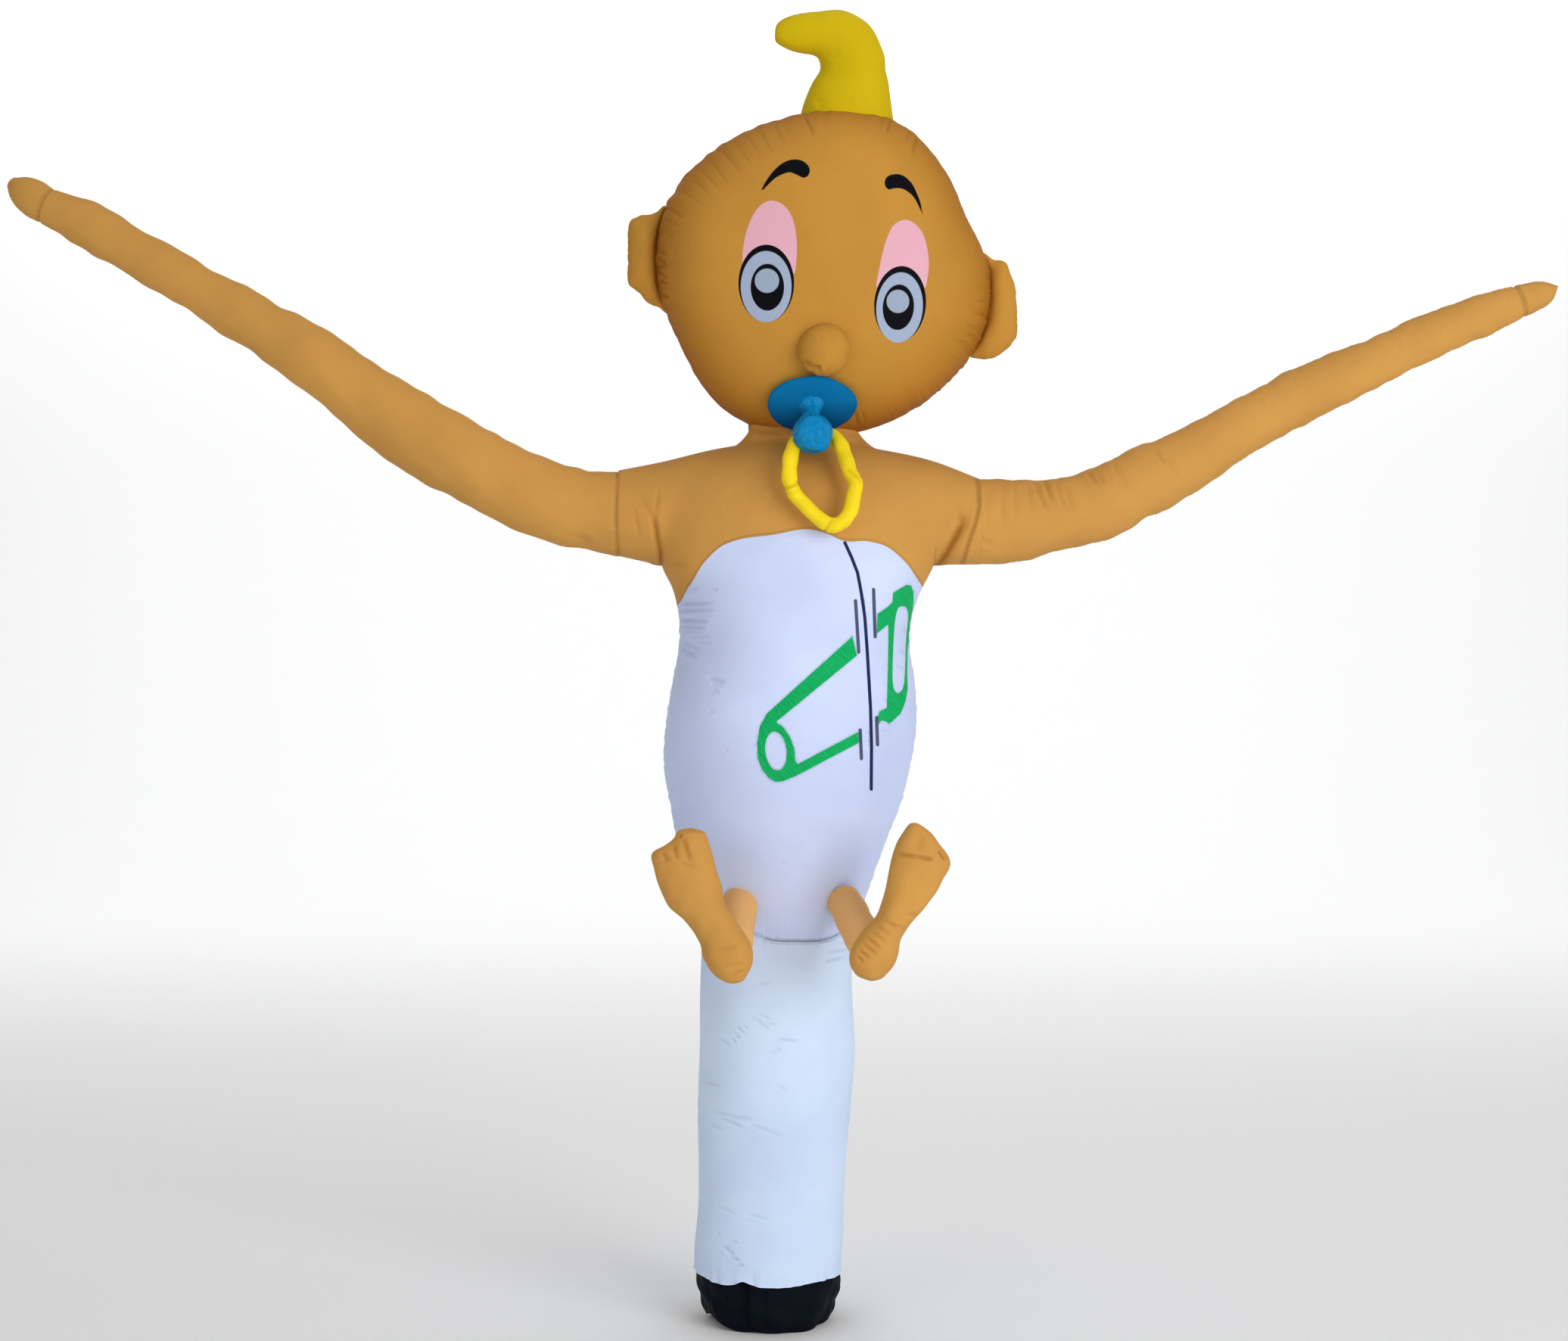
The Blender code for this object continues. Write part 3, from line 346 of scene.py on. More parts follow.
# Creases seen from the front: the two ends, the depth and the half width.
NAPPY_CREASES = (
    (-0.285, 2.171, -0.252, 2.172, 0.003, 0.006), (-0.222, 2.172, -0.193, 2.169, 0.0025, 0.006),
    (-0.318, 2.127, -0.204, 2.128, 0.0045, 0.007), (-0.318, 2.109, -0.2, 2.108, 0.005, 0.007),
    (-0.274, 2.096, -0.206, 2.092, 0.0035, 0.006), (-0.312, 2.079, -0.222, 2.076, 0.005, 0.007),
    (-0.308, 2.061, -0.23, 2.055, 0.0045, 0.006), (-0.306, 2.046, -0.236, 2.042, 0.0035, 0.006),
    (-0.279, 2.031, -0.222, 2.027, 0.003, 0.006), (-0.262, 2.017, -0.214, 2.012, 0.0025, 0.005),
    (-0.305, 1.997, -0.258, 1.964, 0.004, 0.007), (-0.296, 2.012, -0.248, 1.986, 0.003, 0.007),
    (-0.226, 1.905, -0.172, 1.89, 0.0045, 0.007), (-0.218, 1.887, -0.178, 1.877, 0.004, 0.006),
    (-0.212, 1.868, -0.188, 1.86, 0.003, 0.005), (-0.222, 1.804, -0.203, 1.801, 0.0025, 0.005),
    (-0.101, 1.706, -0.075, 1.702, 0.0025, 0.005), (-0.175, 1.687, -0.162, 1.684, 0.0025, 0.005),
    (0.36, 2.05, 0.388, 2.036, 0.003, 0.006), (0.346, 1.99, 0.374, 1.978, 0.003, 0.006),
    (0.34, 1.945, 0.366, 1.935, 0.0025, 0.005), (0.296, 1.752, 0.322, 1.745, 0.0025, 0.005),
    (-0.01, 1.352, 0.016, 1.352, 0.002, 0.006), (0.2, 1.27, 0.235, 1.25, 0.0035, 0.008),
)
MAST_CREASES = (
    (-0.076, 0.9, -0.034, 0.887, 0.003, 0.0045), (-0.1, 0.892, -0.061, 0.875, 0.003, 0.0045),
    (-0.127, 0.872, -0.105, 0.855, 0.0035, 0.004), (-0.14, 0.862, -0.115, 0.843, 0.0035, 0.004),
    (-0.147, 0.84, -0.127, 0.826, 0.003, 0.004), (-0.157, 0.828, -0.14, 0.813, 0.003, 0.004),
    (-0.194, 0.83, -0.159, 0.806, 0.003, 0.0045), (-0.056, 0.88, -0.022, 0.87, 0.003, 0.0045),
    (-0.081, 0.875, -0.041, 0.855, 0.0035, 0.0045), (-0.017, 0.826, 0.047, 0.82, 0.0035, 0.0045),
    (-0.029, 0.803, -0.007, 0.789, 0.003, 0.004), (-0.037, 0.794, -0.012, 0.781, 0.003, 0.004),
    (-0.238, 0.698, -0.184, 0.683, 0.0025, 0.005), (-0.022, 0.688, 0.013, 0.669, 0.002, 0.005),
    (-0.213, 0.61, -0.1, 0.58, 0.003, 0.0055), (-0.199, 0.595, -0.12, 0.56, 0.003, 0.0055),
    (-0.1, 0.568, -0.002, 0.536, 0.0025, 0.0055), (0.135, 1.086, 0.194, 1.093, 0.0035, 0.005),
    (0.125, 1.056, 0.189, 1.073, 0.0035, 0.0055), (-0.071, 0.992, -0.032, 0.995, 0.002, 0.0045),
    (-0.176, 0.198, -0.146, 0.182, 0.004, 0.005), (-0.163, 0.174, -0.129, 0.163, 0.0045, 0.005),
    (-0.142, 0.15, -0.116, 0.146, 0.0035, 0.0045), (-0.202, 0.247, -0.187, 0.241, 0.0025, 0.0045),
    (-0.107, 0.301, -0.047, 0.286, 0.0025, 0.005), (-0.2, 0.33, -0.14, 0.3, 0.002, 0.0055),
    (-0.13, 0.595, -0.09, 0.585, 0.0025, 0.0045), (-0.223, 0.573, -0.179, 0.551, 0.0025, 0.005),
    (-0.185, 0.204, -0.159, 0.198, 0.003, 0.0045), (-0.16, 0.224, -0.135, 0.216, 0.0025, 0.0045),
    (0.1, 1.118, 0.16, 1.128, 0.003, 0.005),
)
ARM_CREASES = (
    (0.612, 2.475, 0.618, 2.33, 0.002, 0.007), (0.655, 2.48, 0.662, 2.35, 0.003, 0.007),
    (0.69, 2.478, 0.7, 2.38, 0.003, 0.006), (0.73, 2.485, 0.748, 2.4, 0.0035, 0.007),
    (0.752, 2.49, 0.79, 2.405, 0.0055, 0.007), (0.78, 2.5, 0.806, 2.43, 0.006, 0.007),
    (0.815, 2.49, 0.85, 2.4, 0.0035, 0.007), (0.845, 2.48, 0.87, 2.4, 0.003, 0.007),
    (0.905, 2.53, 0.945, 2.478, 0.0055, 0.007), (0.935, 2.53, 0.96, 2.48, 0.0035, 0.007),
    (0.985, 2.56, 1.01, 2.48, 0.003, 0.007), (1.01, 2.52, 1.03, 2.47, 0.0025, 0.006),
    (1.11, 2.59, 1.145, 2.54, 0.0035, 0.007), (1.15, 2.56, 1.185, 2.5, 0.0025, 0.007),
    (1.4, 2.752, 1.425, 2.71, 0.0055, 0.007), (1.345, 2.722, 1.372, 2.69, 0.0035, 0.006),
    (1.56, 2.76, 1.585, 2.715, 0.0035, 0.007), (1.59, 2.79, 1.63, 2.72, 0.004, 0.007),
    (1.62, 2.735, 1.634, 2.69, 0.0065, 0.007), (1.64, 2.74, 1.66, 2.7, 0.0035, 0.006),
    (1.72, 2.82, 1.748, 2.76, 0.004, 0.007), (1.76, 2.82, 1.795, 2.765, 0.004, 0.007),
    (1.8, 2.84, 1.83, 2.79, 0.004, 0.007), (1.93, 2.92, 1.944, 2.85, 0.003, 0.007),
    (2.05, 2.975, 2.08, 2.915, 0.005, 0.007), (2.085, 2.99, 2.112, 2.93, 0.005, 0.007),
    (2.12, 2.975, 2.14, 2.945, 0.006, 0.006), (2.18, 3, 2.205, 2.968, 0.0045, 0.006),
    (0.56, 2.33, 0.64, 2.3, 0.002, 0.01), (-0.62, 2.335, -0.575, 2.3, 0.0025, 0.014),
    (-2.186, 3.336, -2.216, 3.261, 0.005, 0.007), (-2.206, 3.29, -2.219, 3.256, 0.01, 0.009),
    (-2.3, 3.34, -2.278, 3.316, 0.006, 0.007),
)
HEAD_CREASES = (
    (0.061, 3.59, 0.094, 3.524, 0.003, 0.005), (0.32, 3.575, 0.313, 3.534, 0.003, 0.005),
    (0.298, 3.578, 0.294, 3.55, 0.0018, 0.004), (0.402, 3.524, 0.389, 3.472, 0.0027, 0.005),
    (0.376, 3.545, 0.37, 3.505, 0.0015, 0.005), (-0.03, 3.57, 0.004, 3.5, 0.0013, 0.005),
    (-0.072, 3.548, -0.035, 3.474, 0.0013, 0.005), (-0.11, 3.535, -0.07, 3.462, 0.0011, 0.005),
    (-0.15, 3.51, -0.098, 3.44, 0.0013, 0.005), (-0.185, 3.488, -0.128, 3.414, 0.0014, 0.005),
    (-0.222, 3.458, -0.165, 3.382, 0.0014, 0.005), (-0.25, 3.428, -0.19, 3.366, 0.0013, 0.005),
    (-0.275, 3.4, -0.215, 3.345, 0.0014, 0.005), (-0.305, 3.36, -0.24, 3.318, 0.0014, 0.005),
    (-0.345, 3.31, -0.29, 3.275, 0.0018, 0.005), (-0.355, 3.28, -0.312, 3.255, 0.0016, 0.005),
    (-0.362, 3.24, -0.325, 3.222, 0.0012, 0.005), (-0.368, 3.182, -0.35, 3.168, 0.003, 0.005),
    (-0.378, 3.156, -0.352, 3.146, 0.0045, 0.005), (-0.373, 3.134, -0.348, 3.139, 0.0025, 0.005),
    (-0.375, 3.117, -0.348, 3.102, 0.0035, 0.005), (-0.371, 3.091, -0.345, 3.084, 0.003, 0.005),
    (-0.369, 3.052, -0.34, 3.04, 0.003, 0.005), (0.56, 2.9, 0.52, 2.915, 0.0014, 0.005),
    (0.575, 2.925, 0.54, 2.936, 0.0014, 0.005), (0.59, 2.95, 0.55, 2.96, 0.0014, 0.005),
    (0.605, 2.99, 0.57, 2.996, 0.0013, 0.005), (0.612, 3.03, 0.582, 3.032, 0.0013, 0.005),
    (0.614, 3.075, 0.588, 3.072, 0.0012, 0.005), (0.225, 2.66, 0.215, 2.7, 0.0024, 0.007),
    (0.245, 2.668, 0.24, 2.7, 0.0018, 0.006),
)
NOSE_CREASES = (
    (0.062, 2.85, 0.092, 2.829, 0.006, 0.007), (0.088, 2.829, 0.114, 2.833, 0.006, 0.007),
    (0.106, 2.814, 0.109, 2.836, 0.006, 0.006), (0.107, 2.93, 0.116, 2.912, 0.0018, 0.006),
    (0.142, 2.936, 0.156, 2.914, 0.0018, 0.006), (0.186, 2.88, 0.198, 2.874, 0.0025, 0.005),
)
HAIR_CREASES = (
    (0.098, 3.64, 0.118, 3.606, 0.0022, 0.01), (0.225, 3.655, 0.252, 3.614, 0.0022, 0.012),
    (0.122, 3.768, 0.168, 3.768, 0.0022, 0.01),
)
LEFT_TOE_CREASES = (
    (-0.301, 1.426, -0.276, 1.357, 0.006, 0.008), (-0.33, 1.408, -0.316, 1.36, 0.005, 0.007),
    (-0.363, 1.386, -0.348, 1.357, 0.0045, 0.007), (-0.312, 1.436, -0.304, 1.428, 0.006, 0.006),
    (-0.377, 1.353, -0.33, 1.361, 0.0025, 0.006), (-0.319, 1.357, -0.262, 1.339, 0.0025, 0.006),
    (-0.2, 1.09, -0.13, 1.102, 0.002, 0.006), (-0.18, 1.045, -0.11, 1.052, 0.002, 0.006),
    (-0.15, 1.015, -0.112, 1.03, 0.003, 0.006),
)
RIGHT_TOE_CREASES = (
    (0.337, 1.379, 0.409, 1.369, 0.006, 0.006), (0.4, 1.371, 0.45, 1.361, 0.0065, 0.006),
    (0.42, 1.44, 0.406, 1.38, 0.003, 0.016), (0.466, 1.39, 0.488, 1.362, 0.008, 0.007),
    (0.221, 1.073, 0.238, 1.054, 0.004, 0.005), (0.225, 1.093, 0.258, 1.063, 0.0045, 0.005),
    (0.236, 1.11, 0.278, 1.078, 0.0045, 0.005), (0.248, 1.13, 0.292, 1.095, 0.0045, 0.005),
    (0.263, 1.147, 0.307, 1.115, 0.0035, 0.005), (0.278, 1.164, 0.322, 1.135, 0.0035, 0.005),
    (0.3, 1.185, 0.34, 1.158, 0.003, 0.005), (0.316, 1.173, 0.366, 1.151, 0.003, 0.005),
    (0.375, 1.2, 0.4, 1.196, 0.003, 0.006),
)
RING_KINKS = (
    (0, 2.468, 0.05, 2.492, 0.004, 0.007), (0.004, 2.452, 0.052, 2.474, 0.0022, 0.006),
    (0.122, 2.338, 0.148, 2.382, 0.0042, 0.007), (0.138, 2.334, 0.158, 2.378, 0.0025, 0.006),
    (0.186, 2.53, 0.236, 2.5, 0.0042, 0.007), (0.192, 2.512, 0.238, 2.488, 0.0022, 0.006),
    (0.176, 2.344, 0.2, 2.376, 0.0022, 0.008),
)
RIGHT_SLEEVE_SEAM = (
    (0.5775, 2.52), (0.5855, 2.462), (0.587, 2.423), (0.579, 2.379), (0.565, 2.337), (0.552, 2.3),
    (0.538, 2.252), (0.533, 2.23),
)
# Bent folds of the chest: the depth, the half width, and the line as seen from the front.
CHEST_FOLDS = (
    (0.004, 0.006, (-0.37, 2.475), (-0.373, 2.458), (-0.377, 2.423), (-0.382, 2.4)),
    (0.012, 0.008, (-0.384, 2.392), (-0.383, 2.378), (-0.377, 2.331), (-0.366, 2.278), (-0.364, 2.236)),
    (0.003, 0.008, (-0.434, 2.465), (-0.421, 2.436), (-0.405, 2.411), (-0.388, 2.38), (-0.382, 2.35)),
    (0.003, 0.008, (-0.448, 2.43), (-0.436, 2.37), (-0.424, 2.32)),
    (0.003, 0.007, (-0.35, 2.243), (-0.32, 2.242), (-0.282, 2.246)),
    (0.016, 0.012, (0.541, 2.392), (0.536, 2.361), (0.517, 2.325), (0.493, 2.283),
     (0.466, 2.243), (0.445, 2.215)),
    (0.004, 0.012, (0.528, 2.425), (0.534, 2.395), (0.534, 2.365)),
    (0.003, 0.008, (0.56, 2.42), (0.556, 2.38), (0.545, 2.34)),
    (0.0065, 0.004, *RIGHT_SLEEVE_SEAM),
    (0.004, 0.008, (0.19, 2.645), (0.222, 2.625), (0.245, 2.598)),
    (0.0035, 0.008, (-0.11, 2.655), (-0.06, 2.64), (0, 2.635)),
)


def seen(points):
    """Where points appear on the seam plane from the eye: their distance from the eye's axis,
    times the eye's distance to the plane, over its distance to the point."""
    scale = EYE[1] / (EYE[1] - points[..., 1])
    return tuple(EYE[i] + (points[..., i] - EYE[i]) * scale for i in (0, 2))


def unseen(x, y, z):
    """The point at depth y that appears at x, z on the seam plane."""
    scale = (EYE[1] - y) / EYE[1]
    return stacked(EYE[0] + (x - EYE[0]) * scale, y, EYE[2] + (z - EYE[2]) * scale)


def stacked(*values):
    return np.stack(np.broadcast_arrays(*values), axis=-1)


def lattice(columns, rows, closed=True):
    """Fractions across and up a grid. A closed grid leaves out the column that would repeat."""
    across = np.linspace(0, 1, columns + 1)
    return np.meshgrid(across[:-1] if closed else across, np.linspace(0, 1, rows + 1))


def ball_lattice(columns, rows):
    """Angles round and the lean from back to front, for the grid of a ball."""
    across, up = lattice(columns, rows)
    return 2 * np.pi * across, np.pi * (up - 0.5)


def facing(fraction, side):
    """The back's columns run the other way, so that its cloth faces out."""
    return fraction if side == FRONT else 1 - fraction


def between(low, high, fraction):
    return low + (high - low) * fraction


def held(value):
    return np.clip(value, 0, 1)


def eased(fraction):
    """Fractions that crowd towards both ends: half of 1 minus the cosine of a half turn."""
    return (1 - np.cos(np.pi * fraction)) / 2


def bell(offset, width):
    return np.exp(-((offset / width) ** 2))


def fading(distance, reach):
    return np.exp(-distance / reach)


def turn_degrees(angle):
    return np.degrees(angle) % 360


def near_angle(angle, degrees, width):
    """A bell round one direction, in degrees."""
    return bell((turn_degrees(angle) - degrees + 180) % 360 - 180, width)


def unit(vectors):
    return vectors / np.maximum(np.linalg.norm(vectors, axis=-1, keepdims=True), 1e-12)


def push(points, amount):
    """Moves the points of a closed grid along their normals, the cross product of its steps across
    and up. A first or last row that is one point takes the mean of the row beside it."""
    across = np.roll(points, -1, axis=1) - np.roll(points, 1, axis=1)
    normal = np.cross(across, np.gradient(points, axis=0))
    for pole, beside in ((0, 1), (-1, -2)):
        if np.ptp(points[pole], axis=0).max() < 1e-6:
            normal[pole] = normal[beside].mean(axis=0)
    return points + unit(normal) * amount[..., None]


def waves(angle, count, seed):
    """Five sines of whole counts near the one given, with chance phases: uneven, but closed."""
    dice = np.random.default_rng(seed)
    total = 0
    for share in (0.61, 0.83, 1.0, 1.29, 1.73):
        total = total + np.sin(round(count * share) * angle + dice.uniform(0, 2 * np.pi))
    return total / 2.4


def dents(points, size, seed):
    """Eight plane waves in chance directions, about as long as size, summed to about -1 to 1."""
    dice = np.random.default_rng(seed)
    total = np.zeros(points.shape[:-1])
    for _ in range(8):
        direction = unit(dice.normal(size=3))
        length = size * dice.uniform(0.7, 1.5)
        total += np.sin(points @ direction * 2 * np.pi / length + dice.uniform(0, 2 * np.pi))
    return total / 3


def ridged(points, size, stretch, seed):
    """Thin raised lines between flat cells: one minus the size of the waves, cubed. stretch scales
    the axes first, so that the lines run along the axes that it makes small."""
    return (1 - np.minimum(np.abs(dents(points * np.array(stretch), size, seed)), 1)) ** 3


def measured(x, z, start, end):
    """From a straight line: the length along it, the offset to its side, its own length, and the
    distance to it."""
    (x0, z0), (x1, z1) = start, end
    length = math.hypot(x1 - x0, z1 - z0)
    run = ((x - x0) * (x1 - x0) + (z - z0) * (z1 - z0)) / length
    off = ((x - x0) * (z1 - z0) - (z - z0) * (x1 - x0)) / length
    return run, off, length, np.hypot(off, np.maximum(np.maximum(-run, run - length), 0))


def bent_line(x, z, line):
    """From a bent line: the distance to it, the offset to the side of its nearest straight part,
    the length along it to there, and its own length."""
    best = np.full(x.shape, np.inf)
    side, run_there, before = 0.0, 0.0, 0.0
    for start, end in zip(line[:-1], line[1:]):
        run, off, length, distance = measured(x, z, start, end)
        closer = distance < best
        best = np.where(closer, distance, best)
        side = np.where(closer, off, side)
        run_there = np.where(closer, before + run, run_there)
        before += length
    return best, side, run_there, before


def creases(points, rows, lip=0.55):
    """Soft troughs with a raised lip on one side, along straight lines on the front as seen from
    the eye: minus a bell curve of the distance from the line, plus a lower bell beside it, faded
    out towards both ends."""
    x, z = seen(points)
    total = np.zeros(x.shape)
    for x0, z0, x1, z1, depth, half_width in rows:
        run, off, length, _ = measured(x, z, (x0, z0), (x1, z1))
        off = off / half_width
        ends = held(1.15 - np.abs(2 * run / length - 1) ** 2.5)
        total -= depth * ends * (bell(off, 1) - lip * bell(off - 1.7, 1))
    return total * (points[..., 1] < 0)


def folds(points, lines):
    """Troughs along bent lines on the front as seen from the eye: minus a pointed bell of the
    distance to the line, with a low wide bell on its left, faded out towards both ends."""
    x, z = seen(points)
    total = np.zeros(x.shape)
    for depth, half_width, *line in lines:
        distance, side, run, length = bent_line(x, z, line)
        ends = held(np.minimum(run / 0.055, (length - run) / 0.02) + 0.15)
        off = np.where(side < 0, -distance, distance) / half_width
        total -= depth * ends * (np.exp(-np.abs(off) ** 1.4) - 0.18 * bell(off - 2.4, math.sqrt(2)))
    return total * (points[..., 1] < 0)


def hollowness(move, full_depth):
    """How deep a trough is, from 0 to 1 at the full depth, which sets how much painted shade it gets."""
    return held(-move / full_depth)


def gathered(along_a, along_b, seam, strength, reach):
    """Fields for the fine tucks that run out from a seam: the place along it, drawn out across it,
    and a pull that dies away from it."""
    pull = strength * fading(np.maximum(seam, 0), reach)
    place = stacked(along_a / GATHER_PITCH, along_b / GATHER_PITCH, seam / GATHER_LENGTH, pull)
    return {"gather": place[..., :3], "pull": place[..., 3]}


def round_seam(radius, angle, seam, strength, reach):
    """Fields for the stitches and the tucks of a seam that runs round a piece."""
    along = radius * np.cos(angle), radius * np.sin(angle)
    return {"run": radius * angle, **gathered(*along, seam, strength, reach)}


def smooth_outline(points, steps=5):
    """A closed curve through the points: each span blends the two parabolas that pass through its
    ends."""
    points = np.array(points)
    p0, p1, p2, p3 = (np.roll(points, shift, 0)[:, None, :] for shift in (1, 0, -1, -2))
    t = np.linspace(0, 1, steps, endpoint=False)[None, :, None]
    curve = 2 * p1 + (p2 - p0) * t + (2 * p0 - 5 * p1 + 4 * p2 - p3) * t ** 2
    curve = (curve + (3 * p1 - p0 - 3 * p2 + p3) * t ** 3) / 2
    return curve.reshape(-1, 2)


def edge_distance(x, z, outline):
    """Distance to a closed outline, negative inside it. Inside is where a level ray crosses the
    outline an odd number of times."""
    nearest = np.full(x.shape, np.inf)
    inside = np.zeros(x.shape, bool)
    for start, end in zip(outline, np.roll(outline, -1, 0)):
        (x0, z0), (x1, z1) = start, end
        nearest = np.minimum(nearest, measured(x, z, start, end)[3])
        if z0 != z1:
            crosses = (z0 > z) != (z1 > z)
            inside ^= crosses & (x < (x1 - x0) * (z - z0) / (z1 - z0) + x0)
    return np.where(inside, -nearest, nearest)


def ellipse_distance(x, z, middle_x, middle_z, half_width, half_height, lean):
    """About the distance to a leaning ellipse: its own radius less one, times its mean half size."""
    turn = math.radians(lean)
    across = (x - middle_x) * math.cos(turn) - (z - middle_z) * math.sin(turn)
    up = (x - middle_x) * math.sin(turn) + (z - middle_z) * math.cos(turn)
    return (np.hypot(across / half_width, up / half_height) - 1) * (half_width + half_height) / 2


def stroke_fields(x, z, strokes, half_width):
    """For thin lines: the offset to the side of the nearest line, and the half width there, which
    falls below nothing away from the line so that two lines' fields never meet as a false line."""
    best = np.full(x.shape, np.inf)
    side, reach = 1.0, -1.0
    for stroke in strokes:
        distance, off, run, length = bent_line(x, z, stroke)
        closer = distance < best
        best = np.where(closer, distance, best)
        side = np.where(closer, off, side)
        past = np.maximum(np.maximum(-run, run - length), 0)
        reach = np.where(closer, half_width - past * 3, reach)
    return side, reach - np.maximum(best - 0.03, 0) * 5


def quad_corners(grid):
    """What a grid holds at the four corners of each quad between its points."""
    return np.stack((grid[:-1, :-1], grid[:-1, 1:], grid[1:, 1:], grid[1:, :-1]), axis=2)


def weave_lengths(ring):
    """The cloth's own map: lengths round each row and up the columns, in metres."""
    steps = np.linalg.norm(np.diff(ring, axis=1), axis=2)
    u = np.concatenate((np.zeros((len(ring), 1)), np.cumsum(steps, axis=1)), axis=1)
    rise = np.linalg.norm(np.diff(ring, axis=0), axis=2).mean(axis=1)
    v = np.concatenate(([0], np.cumsum(rise)))[:, None]
    return stacked(u - u[:, -1:] / 2, v)


class Skin:
    """One piece of cloth made of one or more grids that share their edge points."""

    def __init__(self):
        self.points, self.faces, self.maps, self.fields, self.count = [], [], [], {}, 0

    def add(self, points, closed=True, flat=False, **fields):
        """A grid of points with its fields. flat maps the weave straight through from the front."""
        size = points.shape[:2]
        numbers = self.count + np.arange(size[0] * size[1]).reshape(size)
        ring = points
        if closed:
            numbers, ring = (np.concatenate((grid, grid[:, :1]), axis=1) for grid in (numbers, points))
        weave = ring[..., (0, 2)] if flat else weave_lengths(ring)
        self.faces.append(quad_corners(numbers).reshape(-1, 4))
        self.maps.append(quad_corners(weave).reshape(-1, 2))
        self.points.append(points.reshape(-1, 3))
        for name, value in fields.items():
            tail = np.shape(value)[2:]
            self.fields.setdefault(name, []).append(np.broadcast_to(value, size + tail).reshape(-1, *tail))
        self.count += points[..., 0].size
        return self

    def finish(self, node, slot, cloth, name=None, wall=0.0):
        """The piece that stands for a CAD node, named after it if it has no name of its own."""
        name = name or node + "_cloth"
        mesh = bpy.data.meshes.new(name)
        points = np.concatenate(self.points) + np.array((0, SEAM_PLANE, 0))
        mesh.from_pydata(points, [], np.concatenate(self.faces))
        weave = mesh.uv_layers.new(name="Weave")
        weave.data.foreach_set("uv", np.concatenate(self.maps).astype(np.float32).ravel())
        for field, values in self.fields.items():
            values = np.concatenate(values).astype(np.float32)
            kind, entry = ("FLOAT", "value") if values.ndim == 1 else ("FLOAT_VECTOR", "vector")
            mesh.attributes.new(field, kind, "POINT").data.foreach_set(entry, values.ravel())
        welded = bmesh.new()
        welded.from_mesh(mesh)
        bmesh.ops.remove_doubles(welded, verts=welded.verts, dist=0.00002)
        welded.to_mesh(mesh)
        welded.free()
        mesh.shade_smooth()
        mesh.materials.append(cloth)
        piece = bpy.data.objects.new(name, mesh)
        bpy.context.scene.collection.objects.link(piece)
        if wall:
            solid = piece.modifiers.new("Wall", "SOLIDIFY")
            solid.thickness = wall
            solid.offset = -1
        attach(piece, "root")
        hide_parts(node)
        return piece


def linear(red, green, blue):
    """A colour given as it looks on a screen, 0 to 255, as the light that it reflects."""
    shares = np.array((red, green, blue)) / 255
    light = np.where(shares <= 0.04045, shares / 12.92, ((shares + 0.055) / 1.055) ** 2.4)
    return (*(float(c) for c in light), 1.0)


def shaded(colour, factor):
    return (*(min(1.0, c * factor) for c in colour[:3]), 1.0)


def add_node(tree, kind, inputs=(), output=0, **settings):
    """An output of a new shader node with its settings made and each input given a value or joined
    to a socket."""
    made = tree.nodes.new("ShaderNode" + kind)
    for key, value in settings.items():
        setattr(made, key, value)
    for key, value in dict(inputs).items():
        if isinstance(value, bpy.types.NodeSocket):
            tree.links.new(value, made.inputs[key])
        else:
            made.inputs[key].default_value = value
    return made.outputs[output]


